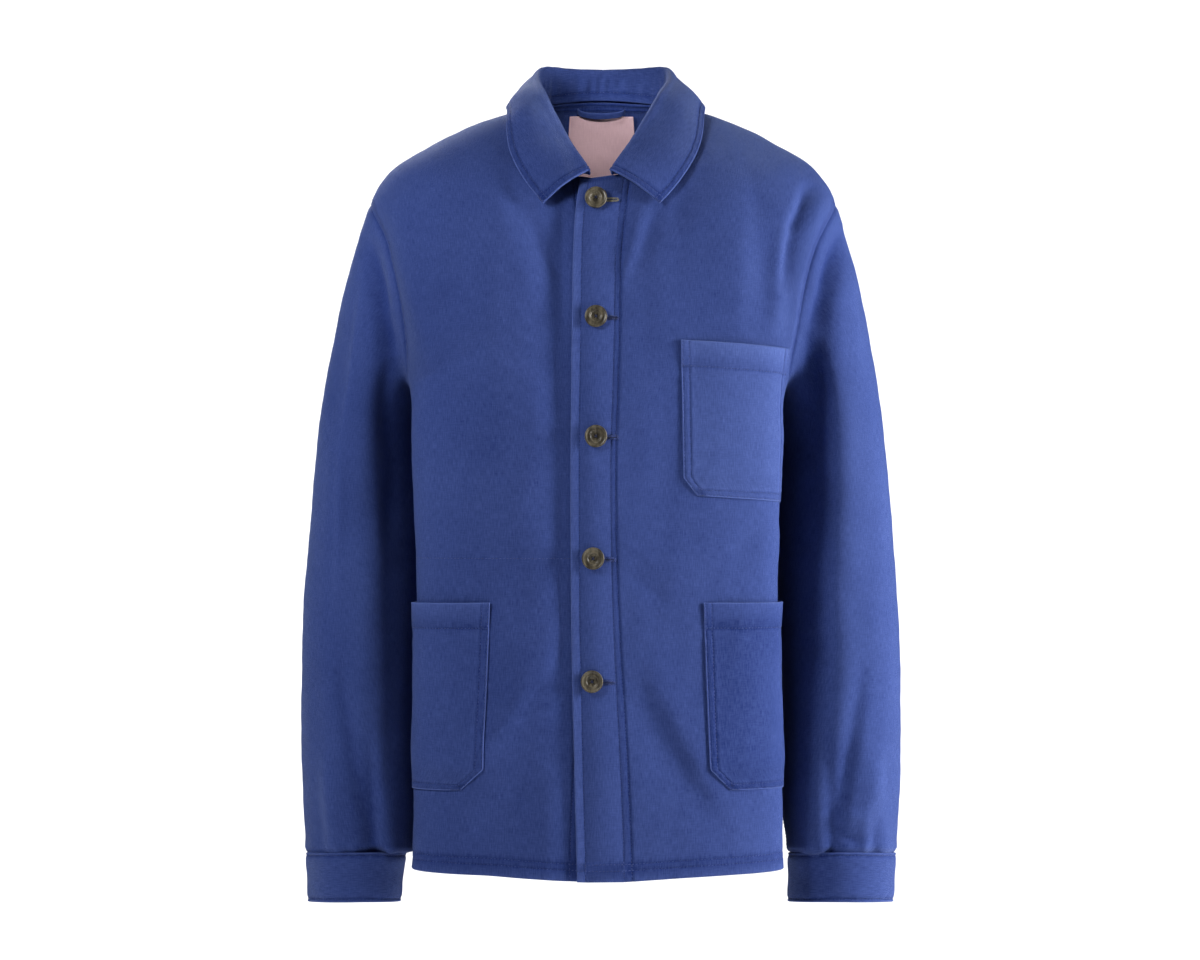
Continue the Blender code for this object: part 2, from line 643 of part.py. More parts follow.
def add_pockets():
    """The three patch pockets, each a wall that lies on its front."""
    pockets = (("pocket_chest", 1, CHEST_PATCH), ("pocket_left", 1, LEFT_PATCH),
               ("pocket_right", -1, RIGHT_PATCH))
    for name, side, patch in pockets:
        angle, level = patch_grid(patch, PATCH_ROWS, PATCH_COLUMNS)
        angle = side * angle
        points, normals = torso_point(angle, level), normal_of(torso_point, angle, level)
        add_wall(name, points + normals * (CLOTH + PATCH_GAP), normals, CLOTH, TWILL)


def back_grid(width, height, top_z, columns, rows):
    """A rectangle on the body surface at the back centre, as (angle, level)."""
    levels = np.linspace(SHOULDER, NECK, 101)
    heights = plain_torso(np.full_like(levels, math.pi), levels)[..., 2]
    level = np.interp(np.linspace(top_z - height, top_z, rows), heights, levels)
    depth = column(TORSO, "back_y", "level", level) - column(TORSO, "side_y", "level", level)
    share = np.linspace(-0.5, 0.5, columns)
    angle = math.pi - np.arctan(width * share[None, :] / depth[:, None])
    return angle, np.repeat(level[:, None], columns, axis=1)


def add_label():
    """The bare neck label on the back's inner face."""
    angle, level = back_grid(LABEL_WIDTH, LABEL_HEIGHT, LABEL_TOP_Z, LABEL_CELLS, LABEL_CELLS)
    points, normals = torso_point(angle, level), normal_of(torso_point, angle, level)
    inside = CLOTH / 2 + LABEL_GAP + LABEL_CLOTH / 2
    add_wall("neck_label", points - normals * inside, normals, LABEL_CLOTH, LABEL_TWILL)


def add_loop():
    """The hanger loop: a tape across the back neck that stands off in its middle."""
    angle, level = back_grid(LOOP_SPAN, LOOP_TAPE, LOOP_TOP_Z, LOOP_COLUMNS, 2)
    points, normals = torso_point(angle, level), normal_of(torso_point, angle, level)
    bow = np.sin(np.linspace(0.0, math.pi, LOOP_COLUMNS)) ** 0.5
    inside = CLOTH + LOOP_GAP + LOOP_STAND * bow
    points = points - normals * inside[None, :, None]
    points[..., 2] -= LOOP_DROOP * bow
    add_wall("hanger_loop", points, normals, CLOTH, TWILL)


def button_mesh():
    """One turned button on its back face, axis +Z, without its holes."""
    shape = bmesh.new()
    turns = np.linspace(0.0, 2 * math.pi, BUTTON_SIDES + 1)[:-1]
    rings = []
    for radius, height in BUTTON_PROFILE:
        rings.append([shape.verts.new((BUTTON_RADIUS * radius * math.cos(turn),
                                       BUTTON_RADIUS * radius * math.sin(turn),
                                       BUTTON_HEIGHT * height)) for turn in turns])
    for low, high in zip(rings, rings[1:]):
        for index in range(BUTTON_SIDES):
            after = (index + 1) % BUTTON_SIDES
            shape.faces.new((low[index], low[after], high[after], high[index]))
    shape.faces.new(rings[0][::-1])
    shape.faces.new(rings[-1])
    mesh = bpy.data.meshes.new("button")
    shape.to_mesh(mesh)
    shape.free()
    mesh.shade_smooth()
    mesh.set_sharp_from_angle(angle=math.radians(40))
    return mesh


def button_cutter():
    """Four pins that cut a button's holes."""
    shape = bmesh.new()
    for turn in range(4):
        place = math.pi / 4 + turn * math.pi / 2
        pin = bmesh.ops.create_cone(shape, cap_ends=True, segments=6, radius1=BUTTON_HOLE,
                                    radius2=BUTTON_HOLE, depth=4 * BUTTON_HEIGHT)
        offset = (BUTTON_HOLE_PITCH * math.cos(place), BUTTON_HOLE_PITCH * math.sin(place), 0.0)
        bmesh.ops.translate(shape, verts=pin["verts"], vec=offset)
    mesh = bpy.data.meshes.new("button_cutter")
    shape.to_mesh(mesh)
    shape.free()
    cutter = bpy.data.objects.new("button_cutter", mesh)
    cutter.hide_render = True
    cutter.display_type = "WIRE"
    bpy.context.scene.collection.objects.link(cutter)
    return cutter


def add_buttons():
    """Five buttons, each flat on the left front and turned to face as the cloth does."""
    for number, (x, z) in enumerate(zip(BUTTON_X, BUTTON_Z), start=1):
        level = level_at(z, 0.0)
        angle = math.atan(x / front_depth(level))
        place = torso_point(np.array(angle), np.array(level))
        normal = normal_of(torso_point, np.array(angle), np.array(level))
        button = add_object(f"button_{number}", button_mesh(), HORN)
        button.location = place + normal * (CLOTH / 2 + BUTTON_CLEAR)
        tip = math.atan2(math.hypot(normal[0], normal[1]), normal[2])
        button.rotation_euler = (tip, 0.0, math.atan2(normal[1], normal[0]) + math.pi / 2)
        cutter = button_cutter()
        cutter.name = f"button_cutter_{number}"
        cutter.parent = button
        cut = button.modifiers.new("holes", "BOOLEAN")
        cut.object = cutter
        cut.operation = "DIFFERENCE"
        cut.solver = "EXACT"


def main():
    """Empty the scene and build the jacket."""
    for old in list(bpy.data.objects):
        bpy.data.objects.remove(old, do_unlink=True)
    add_fronts()
    add_back()
    add_sleeves()
    add_cuffs()
    add_collar()
    add_pockets()
    add_label()
    add_loop()
    add_buttons()


main()
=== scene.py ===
"""Looks of a chore jacket, filled out as worn and empty inside.

Every cloth piece is a thin closed shell on a surface f(u, v), worked out with numpy on a fine
grid: one surface for the body, one for each sleeve, one for the collar. Soft folds, seam channels
and doubled edges are heights along the surface's normals. Every line of top stitching is a row of
single stitches that lies in its channel. Metres, +Z up, the front faces -Y.
"""
import logging
import math
from dataclasses import dataclass, replace
from enum import Enum
from typing import Callable, NamedTuple, Sequence

import bpy
import numpy as np
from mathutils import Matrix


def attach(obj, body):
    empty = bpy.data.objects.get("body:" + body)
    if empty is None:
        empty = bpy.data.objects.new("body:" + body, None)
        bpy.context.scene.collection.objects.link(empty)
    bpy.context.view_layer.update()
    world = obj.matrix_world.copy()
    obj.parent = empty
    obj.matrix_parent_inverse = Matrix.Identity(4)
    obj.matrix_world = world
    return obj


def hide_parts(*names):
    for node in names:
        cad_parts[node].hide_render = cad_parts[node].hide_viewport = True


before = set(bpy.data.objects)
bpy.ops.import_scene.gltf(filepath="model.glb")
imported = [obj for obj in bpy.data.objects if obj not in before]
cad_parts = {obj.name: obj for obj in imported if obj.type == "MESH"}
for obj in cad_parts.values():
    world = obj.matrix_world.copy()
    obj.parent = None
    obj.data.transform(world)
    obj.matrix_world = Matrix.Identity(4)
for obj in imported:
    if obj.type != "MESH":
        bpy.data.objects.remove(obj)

LOG = logging.getLogger("jacket")
Array = np.ndarray
Surface = Callable[[Array, Array], Array]
Point = tuple[float, float, float]

# Cloth
TWILL_THICK = 0.0012       # wall of the single cloth pieces
DOUBLE_THICK = 0.0022      # collar and cuffs are made double
LABEL_THICK = 0.0008
SOLID_CLOTH = 0.0015       # wall of the solids, which sets where layers lie
SEAM = 0.0003              # gap between neighbouring pieces at a seam
RIM = 0.0006               # reach of a rounded rim
EDGE_FALL = 0.0012         # way in which a doubled edge falls to the single cloth
EDGE_BELL_REACH = 0.0012         # reach of the bell at an edge: wear on folded edges, painted shadow at the sleeve's head
TINY = 1e-4                # step for slopes on a surface, in its own units

# Stitch channels
CHANNEL_DEPTH = 0.0008
CHANNEL_REACH = 0.0011
CHANNEL_ROWS = (-0.0009, -0.00045, 0.0, 0.00045, 0.0009)
RIM_ROW = 0.0013           # first row of a grid inside its edge

# Wear and painted shade: above 0 the cloth is paler, below 0 deeper
CHANNEL_SHADE = 1100.0     # painted shade in a stitch channel, per metre of its depth
FOLD_SHADE = 55.0          # per metre of fold height: ridges worn paler, painted shade in troughs
FOLD_SHADE_LIMITS = (-0.010, 0.004)

# Levels of the body surface
UNDERARM = 0.60
SHOULDER = 0.80
NECK = 1.0
HEM_Z = -0.707             # height of the front's hem
BODY_TALL = 0.72           # from there up to the neck, roughly
LEVEL_STEP = 0.71          # stride with which a level is found from a height
SEARCH_STEPS = 16


class Ring(NamedTuple):
    """One section of the body, from the front centre round to the back centre."""

    level: float
    side_x: float
    side_y: float
    side_z: float
    front_y: float
    front_z: float
    back_y: float
    back_z: float
    front_power: float
    back_power: float
    hug: float
    shift: float


TORSO = (
    Ring(0.00, 0.1795, -0.045, -0.700, -0.118, -0.707, 0.122, -0.706, 2.5, 2.4, 0.112, -0.0030),
    Ring(0.14, 0.1797, -0.045, -0.600, -0.121, -0.603, 0.124, -0.602, 2.5, 2.4, 0.133, -0.0030),
    Ring(0.28, 0.1785, -0.045, -0.500, -0.122, -0.501, 0.120, -0.500, 2.5, 2.4, 0.157, -0.0035),
    Ring(0.42, 0.1797, -0.045, -0.400, -0.126, -0.400, 0.123, -0.398, 2.5, 2.4, 0.160, -0.0040),
    Ring(0.54, 0.1822, -0.040, -0.315, -0.129, -0.315, 0.130, -0.308, 2.5, 2.4, 0.145, -0.0035),
    Ring(0.60, 0.1815, -0.030, -0.275, -0.129, -0.275, 0.133, -0.262, 2.6, 2.4, 0.147, -0.0030),
    Ring(0.68, 0.1960, -0.010, -0.205, -0.125, -0.222, 0.135, -0.200, 2.8, 2.5, 0.080, 0.0000),
    Ring(0.76, 0.2080, 0.000, -0.128, -0.117, -0.172, 0.128, -0.140, 2.8, 2.5, 0.020, 0.0015),
    Ring(0.80, 0.2120, 0.003, -0.0965, -0.112, -0.150, 0.122, -0.112, 2.6, 2.4, 0.000, 0.0020),
    Ring(0.84, 0.1970, 0.005, -0.0690, -0.108, -0.133, 0.115, -0.085, 2.4, 2.4, 0.000, 0.0022),
    Ring(0.90, 0.1545, 0.005, -0.0410, -0.102, -0.110, 0.104, -0.048, 2.1, 2.3, 0.000, 0.0035),
    Ring(0.95, 0.1150, 0.004, -0.0215, -0.098, -0.094, 0.093, -0.020, 1.8, 2.2, 0.000, 0.0045),
    Ring(1.00, 0.0720, 0.003, -0.0085, -0.094, -0.079, 0.081, 0.006, 1.65, 2.1, 0.000, 0.0040),
)
HUG_ANGLE = 1.80            # where the arm presses the body in
HUG_SPREAD = 0.42
FRONT_FROM_Y = 0.03         # creases of the front come in from here
FRONT_WITHIN = 0.06


class Fold(NamedTuple):
    """A soft ridge (height above 0) or trough between two places on a surface."""

    start: tuple[float, float]
    end: tuple[float, float]
    width: float
    height: float


TORSO_FOLDS = (
    Fold((1.02, 0.86), (0.98, 0.70), 0.014, -0.0030),
    Fold((0.86, 0.80), (0.88, 0.66), 0.016, 0.0030),
    Fold((-1.20, 0.80), (-1.10, 0.66), 0.014, 0.0045),
    Fold((-0.92, 0.84), (-0.90, 0.66), 0.018, -0.0025),
    Fold((2.25, 0.80), (2.20, 0.60), 0.020, 0.0035),
    Fold((-2.25, 0.78), (-2.15, 0.58), 0.020, 0.0035),
    Fold((2.60, 0.52), (2.20, 0.40), 0.022, -0.0030),
    Fold((-2.55, 0.48), (-2.15, 0.38), 0.022, -0.0030),
)
ARMHOLE_FRONT = 0.37        # reach of the armhole in angle, to the front and the back
ARMHOLE_BACK = 0.48
VALLEY_DEPTH = 0.0085       # the fold in which the armhole's seam lies
VALLEY_TOP_Z = -0.085
VALLEY_FOOT_Z = -0.315
VALLEY_FADE = 0.060
FRONT_EDGE_LEVELS = (0.00, 0.30, 0.70, 0.86, 1.00)
FRONT_EDGE_X = (0.0212, 0.0260, 0.0258, 0.0240, 0.0195)
CORNER_DROP = 0.014
UNDERLAP = 0.0040           # depth of the covered front under the other one
UNDERLAP_START = 0.60
NECK_SHARE = 7 / 15        # share of a panel's top that ends at the neckline
TOP_HOLD = 4                # power with which a panel's rows bend to its top
FACING = 0.0425             # widths of the cloth turned in: at the opening,
ARMHOLE_TURN = 0.0075       # along the armhole and side of a front,
SIDE_TURN = 0.0070          # along the sides of the back,
HEM = 0.0160                # at the hem,
POCKET_TURN = 0.0095        # round a pocket,
COLLAR_TURN = 0.0065        # and round the collar's leaf


class SleeveRing(NamedTuple):
    """One level section of a sleeve below the underarm, as its four extreme points, its rise
    towards the front and how far its foremost point lies outwards."""

    z: float
    outer_x: float
    inner_x: float
    front_y: float
    back_y: float
    tilt: float
    turned: float


SLEEVE = (
    SleeveRing(-0.330, 0.2610, 0.1625, -0.058, 0.078, 0.00, 0.013),
    SleeveRing(-0.390, 0.2655, 0.1600, -0.058, 0.074, 0.00, 0.014),
    SleeveRing(-0.450, 0.2705, 0.1605, -0.061, 0.066, 0.04, 0.013),
    SleeveRing(-0.530, 0.2735, 0.1640, -0.066, 0.055, 0.08, 0.009),
    SleeveRing(-0.600, 0.2732, 0.1655, -0.069, 0.045, 0.10, 0.004),
    SleeveRing(-0.655, 0.2715, 0.1670, -0.068, 0.037, 0.10, 0.001),
    SleeveRing(-0.690, 0.2685, 0.1722, -0.065, 0.029, 0.10, 0.000),
)
FOLD_FREE = 0.15            # share of the sleeve over which its folds come in
CAP_SHARE = 0.42            # share of the sleeve that is cap
CAP_LEAN = 0.7              # how far the cap's start leans towards the tube
CAP_ROUND = 0.28            # how far it leans outwards over the shoulder
CAP_SLOPE = 0.6             # slope at the cap's ends, over its chord
UNDERARM_SLACK = 0.035      # more cloth under the arm
SLEEVE_TUCK = 0.0025        # reach of the sleeve's head under the armhole's edge
SLEEVE_FOLDS = (
    Fold((1.45, 0.74), (1.80, 1.00), 0.008, -0.0050),
    Fold((1.05, 0.86), (1.20, 1.00), 0.009, 0.0035),
    Fold((5.00, 0.60), (4.20, 0.50), 0.020, -0.0040),
    Fold((2.20, 0.45), (1.20, 0.55), 0.022, -0.0030),
    Fold((0.60, 0.20), (1.20, 0.42), 0.020, -0.0030),
    Fold((5.50, 0.22), (4.90, 0.44), 0.022, -0.0035),
)


class CuffRims(NamedTuple):
    """The far and near x of a cuff's top and bottom rims."""

    outer_top: float
    outer_bottom: float
    inner_top: float
    inner_bottom: float


CUFF_RIGHT = CuffRims(0.2685, 0.2668, 0.1785, 0.1835)
CUFF_LEFT = CuffRims(0.2675, 0.2645, 0.1728, 0.1722)


class CollarStation(NamedTuple):
    """A cross-section of the collar: where it leaves the neck seam, rolls over and ends."""

    along: float
    neck_angle: float
    roll_x: float
    roll_y: float
    roll_z: float
    edge_angle: float
    edge_level: float
    edge_lift: float
    shift: float


COLLAR = (
    CollarStation(0.00, 0.10, 0.0095, -0.0985, -0.0730, 0.455, 0.878, 0.0030, -0.0010),
    CollarStation(0.20, 0.62, 0.0288, -0.0670, -0.0425, 0.800, 0.930, 0.0035, -0.0005),
    CollarStation(0.42, 1.27, 0.0507, -0.0220, 0.0010, 1.220, 0.970, 0.0045, 0.0010),
    CollarStation(0.62, 1.95, 0.0597, 0.0330, 0.0240, 1.720, 0.980, 0.0055, 0.0030),
    CollarStation(0.74, 2.36, 0.0570, 0.0600, 0.0362, 2.250, 0.975, 0.0045, 0.0035),
    CollarStation(0.86, 2.75, 0.0330, 0.0790, 0.0370, 2.700, 0.965, 0.0045, 0.0030),
    CollarStation(1.00, math.pi, 0.0000, 0.0850, 0.0362, math.pi, 0.960, 0.0045, 0.0025),
)
EDGE_LINES = (0.0015, 0.006)   # the leaf's two lines of stitching
LEAF_RISE = 0.0042
ROLL_WIDTH, ROLL_WIDTH_FRONT = 0.0090, 0.0065
ROLL_FALL, ROLL_FALL_FRONT = 0.0070, 0.0025
COLLAR_LIFT = 0.0012
STAND_SHARE, ROLL_SHARE = 0.35, 0.30


class Patch(NamedTuple):
    """A patch pocket: distances round the body from the front centre, and heights."""

    inner_top: float
    inner_bottom: float
    outer: float
    top_z: float
    bottom_z: float
    fall: float
    chamfer_across: float
    chamfer_up: float
    worn: float


CHEST_PATCH = Patch(0.0705, 0.0730, 0.1790, -0.2260, -0.3640, 0.0060, 0.012, 0.016, 0.42)
LEFT_PATCH = Patch(0.0908, 0.0968, 0.2300, -0.4585, -0.6255, 0.0010, 0.018, 0.019, -0.40)
RIGHT_PATCH = Patch(0.0935, 0.1012, 0.2350, -0.4585, -0.6260, 0.0020, 0.020, 0.019, 0.0)

BUTTON_X = (-0.0045, -0.0045, -0.0045, -0.0070, -0.0080)
BUTTON_Z = (-0.0993, -0.2055, -0.3112, -0.4192, -0.5283)


class Fade(Enum):
    """Where a crease dies away."""

    BOTH = "both ends"
    START = "at its start"


class Crease(NamedTuple):
    """A fold as seen from the front or the back: its ends (x, z), its reach on either side of the
    line, and its height."""

    start: tuple[float, float]
    end: tuple[float, float]
    left: float
    right: float
    height: float
    fade: Fade = Fade.BOTH


FRONT_CREASES = (
    # wearer's left front
    Crease((0.039, -0.098), (0.019, -0.195), 0.008, 0.012, 0.0028),
    Crease((0.052, -0.098), (0.022, -0.185), 0.006, 0.009, -0.0032),
    Crease((0.080, -0.066), (0.063, -0.132), 0.013, 0.018, -0.0028),
    Crease((0.014, -0.151), (-0.012, -0.194), 0.004, 0.005, -0.0011),
    Crease((0.004, -0.146), (-0.015, -0.183), 0.005, 0.004, 0.0008),
    Crease((0.188, -0.080), (0.172, -0.128), 0.006, 0.009, -0.0066),
    Crease((0.175, -0.108), (0.160, -0.185), 0.006, 0.009, -0.0070),
    Crease((0.199, -0.092), (0.183, -0.137), 0.007, 0.007, 0.0030),
    Crease((0.163, -0.122), (0.151, -0.228), 0.008, 0.009, 0.0040),
    Crease((0.157, -0.386), (0.134, -0.439), 0.010, 0.013, 0.0016),
    Crease((0.146, -0.378), (0.119, -0.421), 0.010, 0.010, -0.0012),
    Crease((0.024, -0.426), (0.056, -0.460), 0.010, 0.012, -0.0015),
    Crease((0.044, -0.525), (0.124, -0.668), 0.012, 0.018, 0.0028),
    Crease((0.024, -0.515), (0.092, -0.650), 0.020, 0.013, -0.0028),
    Crease((-0.013, -0.652), (0.013, -0.680), 0.006, 0.007, -0.0010),
    Crease((0.056, -0.279), (0.054, -0.421), 0.013, 0.013, -0.0012),
    Crease((0.100, -0.100), (0.110, -0.210), 0.020, 0.024, 0.0014),
    # wearer's right front
    Crease((-0.036, -0.095), (-0.036, -0.225), 0.016, 0.007, -0.0036),
    Crease((-0.036, -0.170), (-0.036, -0.560), 0.016, 0.010, -0.0018),
    Crease((-0.086, -0.070), (-0.034, -0.180), 0.009, 0.010, -0.0024),
    Crease((-0.096, -0.090), (-0.050, -0.205), 0.012, 0.012, 0.0016),
    Crease((-0.138, -0.172), (-0.147, -0.217), 0.011, 0.013, -0.0014),
    Crease((-0.094, -0.128), (-0.090, -0.297), 0.018, 0.018, 0.0014),
    Crease((-0.034, -0.540), (-0.100, -0.690), 0.028, 0.022, -0.0056, Fade.START),
    Crease((-0.045, -0.500), (-0.130, -0.630), 0.014, 0.012, 0.0030),
    Crease((-0.023, -0.465), (-0.044, -0.528), 0.008, 0.009, -0.0012),
    Crease((-0.152, -0.190), (-0.157, -0.341), 0.011, 0.014, 0.0014),
    Crease((-0.066, -0.320), (-0.110, -0.400), 0.014, 0.014, -0.0010),
)
BACK_CREASES = (
    Crease((0.165, -0.200), (0.110, -0.400), 0.018, 0.020, 0.0025),
    Crease((0.150, -0.190), (0.092, -0.380), 0.015, 0.015, -0.0022),
    Crease((-0.160, -0.210), (-0.100, -0.420), 0.018, 0.020, 0.0028),
    Crease((-0.146, -0.205), (-0.084, -0.390), 0.014, 0.016, -0.0022),
    Crease((0.024, -0.080), (0.004, -0.350), 0.022, 0.028, -0.0018),
    Crease((-0.050, -0.120), (-0.030, -0.300), 0.020, 0.020, 0.0014),
    Crease((0.145, -0.470), (0.040, -0.600), 0.018, 0.018, -0.0022),
    Crease((0.150, -0.440), (0.050, -0.560), 0.016, 0.016, 0.0018),
    Crease((-0.130, -0.500), (-0.020, -0.650), 0.016, 0.020, -0.0020),
    Crease((-0.140, -0.460), (-0.040, -0.600), 0.016, 0.016, 0.0016),
    Crease((-0.050, -0.042), (0.055, -0.048), 0.010, 0.010, -0.0010),
    Crease((0.070, -0.560), (0.078, -0.700), 0.018, 0.022, 0.0020, Fade.START),
    Crease((-0.080, -0.580), (-0.090, -0.700), 0.020, 0.018, -0.0020, Fade.START),
)
SLEEVE_CREASES = {
    -1: (
        Crease((-0.211, -0.129), (-0.236, -0.323), 0.003, 0.005, 0.0014),
        Crease((-0.236, -0.300), (-0.239, -0.470), 0.003, 0.005, 0.0012),
        Crease((-0.211, -0.125), (-0.191, -0.240), 0.010, 0.011, -0.0100),
        Crease((-0.192, -0.200), (-0.182, -0.440), 0.013, 0.015, -0.0115),
        Crease((-0.213, -0.545), (-0.201, -0.690), 0.010, 0.004, -0.0062, Fade.START),
        Crease((-0.202, -0.550), (-0.189, -0.690), 0.006, 0.011, 0.0040, Fade.START),
        Crease((-0.247, -0.540), (-0.242, -0.690), 0.006, 0.009, 0.0018, Fade.START),
        Crease((-0.207, -0.270), (-0.200, -0.640), 0.024, 0.010, 0.0065),
        Crease((-0.180, -0.400), (-0.215, -0.450), 0.010, 0.010, 0.0014),
    ),
    1: (
        Crease((0.224, -0.152), (0.246, -0.305), 0.008, 0.008, 0.0015),
        Crease((0.202, -0.520), (0.207, -0.690), 0.006, 0.006, -0.0030, Fade.START),
        Crease((0.185, -0.430), (0.186, -0.690), 0.012, 0.015, 0.0065, Fade.START),
        Crease((0.211, -0.651), (0.242, -0.654), 0.008, 0.008, 0.0022),
        Crease((0.211, -0.669), (0.238, -0.678), 0.006, 0.006, -0.0030),
        Crease((0.253, -0.586), (0.255, -0.690), 0.006, 0.006, 0.0018, Fade.START),
        Crease((0.242, -0.604), (0.246, -0.690), 0.005, 0.006, -0.0015, Fade.START),
        Crease((0.218, -0.422), (0.233, -0.495), 0.012, 0.012, -0.0014),
        Crease((0.220, -0.115), (0.194, -0.215), 0.010, 0.011, -0.0100),
        Crease((0.198, -0.180), (0.174, -0.420), 0.016, 0.014, -0.0130),
        Crease((0.219, -0.240), (0.212, -0.600), 0.014, 0.020, 0.0075),
        Crease((0.185, -0.420), (0.215, -0.460), 0.010, 0.010, 0.0012),
    ),
}
SLEEVE_BACK_CREASES = (
    Crease((0.252, -0.360), (0.185, -0.420), 0.010, 0.010, -0.0028),
    Crease((0.255, -0.385), (0.190, -0.450), 0.010, 0.010, 0.0026),
    Crease((0.250, -0.425), (0.200, -0.475), 0.009, 0.010, -0.0022),
    Crease((0.200, -0.170), (0.215, -0.320), 0.012, 0.014, -0.0026),
    Crease((0.235, -0.560), (0.228, -0.690), 0.007, 0.008, -0.0026, Fade.START),
    Crease((0.205, -0.580), (0.208, -0.690), 0.007, 0.008, 0.0022, Fade.START),
)


class Wave(NamedTuple):
    """Unevenness of the cloth: its height, and two crossed sines, each by its turns per metre
    along x, y and z and its start."""

    height: float
    first: tuple[float, float, float, float]
    second: tuple[float, float, float, float]


RIPPLES = (
    Wave(0.00045, (61.0, 0.0, 17.0, 1.3), (0.0, -23.0, 39.0, 0.4)),
    Wave(0.00030, (118.0, 0.0, -47.0, 2.1), (31.0, 0.0, 83.0, 0.0)),
    Wave(0.00016, (260.0, 0.0, 150.0, 0.0), (0.0, -120.0, 190.0, 0.7)),
)


# ---------------------------------------------------------------- curves and surfaces


def hermite(start: Array, end: Array, start_slope: Array, end_slope: Array, share: Array) -> Array:
    """Cubic from start to end with the given slopes, at a share of the way.

    Args:
        start, end: Its ends.
        start_slope, end_slope: Its slopes there, over the whole way.
        share: Share of the way.

    Returns:
        The values.
    """
    square, cube = share ** 2, share ** 3
    return ((2 * cube - 3 * square + 1) * start + (cube - 2 * square + share) * start_slope
            + (3 * square - 2 * cube) * end + (cube - square) * end_slope)


def smooth(knots: Sequence[float], values: Sequence[float], at: Array) -> Array:
    """A curve through a table's rows: each row's slope comes from its neighbours.

    Args:
        knots: Places of the rows, in any order.
        values: Their values.
        at: Places to look up.

    Returns:
        The values there.
    """
    order = np.argsort(knots)
    knots, values = np.asarray(knots, float)[order], np.asarray(values, float)[order]
    slopes = np.gradient(values, knots)
    row = np.clip(np.searchsorted(knots, at, side="right") - 1, 0, len(knots) - 2)
    step = knots[row + 1] - knots[row]
    share = (at - knots[row]) / step
    return hermite(values[row], values[row + 1], slopes[row] * step, slopes[row + 1] * step, share)


def column(table: Sequence[NamedTuple], name: str, key: str, at: Array) -> Array:
    """One named column of a table, smoothed over its key column."""
    return smooth([getattr(row, key) for row in table], [getattr(row, name) for row in table], at)


def ease(share: Array) -> Array:
    """From 0 to 1 with level ends."""
    share = np.clip(share, 0.0, 1.0)
    return share * share * (3.0 - 2.0 * share)


def unit(vectors: Array) -> Array:
    """The vectors scaled to length 1."""
    return vectors / np.linalg.norm(vectors, axis=-1, keepdims=True)


def normal_of(surface: Surface, u: Array, v: Array) -> Array:
    """Outward normal of a surface: its slope across crossed with its slope up.

    Args:
        surface: The surface.
        u, v: Places on it.

    Returns:
        Unit normals.
    """
    across = surface(u + TINY, v) - surface(u - TINY, v)
    up = surface(u, v + TINY) - surface(u, v - TINY)
    return unit(np.cross(across, up))


def grid_normals(points: Array, side: int = 1, ring: bool = False) -> Array:
    """Normals of a grid: its columns' run crossed with its rows' run.

    Args:
        points: Rows and columns of points.
        side: Sign that turns the normals outwards.
        ring: Whether the columns join up.

    Returns:
        Unit normals.
    """
    if ring:
        wrapped = np.concatenate([points[:, -1:], points, points[:, :1]], axis=1)
        across = wrapped[:, 2:] - wrapped[:, :-2]
    else:
        across = np.gradient(points, axis=1)
    return side * unit(np.cross(across, np.gradient(points, axis=0)))


def plain_torso(angle: Array, level: Array) -> Array:
    """Body surface without folds: at each level a ring of two half superellipses, front and
    back, pressed in where the arm lies, its height sliding from centre to side.

    Args:
        angle: Angles from the front centre over the wearer's left side.
        level: Levels from the hem (0) to the neck seam (1).

    Returns:
        Points.
    """
    angle, level = np.broadcast_arrays(np.asarray(angle, float), np.asarray(level, float))
    ring = {name: column(TORSO, name, "level", level) for name in Ring._fields[1:]}
    side, ahead = np.abs(np.sin(angle)), np.cos(angle)
    in_front = ahead > 0.0
    depth = np.where(in_front, ring["side_y"] - ring["front_y"], ring["back_y"] - ring["side_y"])
    power = np.where(in_front, ring["front_power"], ring["back_power"])
    far_z = np.where(in_front, ring["front_z"], ring["back_z"])
    radius = ((side / ring["side_x"]) ** power + (np.abs(ahead) / depth) ** power) ** (-1.0 / power)
    folded = np.arccos(np.clip(ahead, -1.0, 1.0))
    hug = 1.0 - ring["hug"] * np.exp(-((folded - HUG_ANGLE) / HUG_SPREAD) ** 2)
    x = np.sign(np.sin(angle)) * radius * side * hug + ring["shift"] * side ** 2
    y = ring["side_y"] - radius * ahead
    z = far_z * ahead ** 2 + ring["side_z"] * side ** 2
    return np.stack([x, y, z], axis=-1)


def fold_lines(folds: Sequence[Fold], surface: Surface) -> list[tuple[Fold, Array, Array]]:
    """Find each fold's line in space.

    Args:
        folds: Folds, by places on the surface.
        surface: The surface.

    Returns:
        Each fold with the start and run of its line.
    """
    starts = [surface(*(np.array(value, float) for value in fold.start)) for fold in folds]
    ends = [surface(*(np.array(value, float) for value in fold.end)) for fold in folds]
    return [(fold, start, end - start) for fold, start, end in zip(folds, starts, ends)]


def fold_height(points: Array, lines: list[tuple[Fold, Array, Array]]) -> Array:
    """Sum of the folds' heights: a bell over the distance from each fold's line.

    Args:
        points: Points near the surface.
        lines: Folds with their lines.

    Returns:
        Heights.
    """
    total = np.zeros(points.shape[:-1])
    for fold, start, line in lines:
        share = np.clip((points - start) @ line / (line @ line), 0.0, 1.0)
        away = np.linalg.norm(points - start - share[..., None] * line, axis=-1)
        taper = 0.25 + 0.75 * np.sin(math.pi * share)
        total += fold.height * taper * np.exp(-(away / fold.width) ** 2)
    return total


TORSO_LINES = fold_lines(TORSO_FOLDS, plain_torso)


def torso_point(angle: Array, level: Array) -> Array:
    """Body surface with the folds that the solids have.

    Args:
        angle, level: Places on the body.

    Returns:
        Points.
    """
    points = plain_torso(angle, level)
    height = fold_height(points, TORSO_LINES)
    return points + height[..., None] * normal_of(plain_torso, np.asarray(angle, float), level)


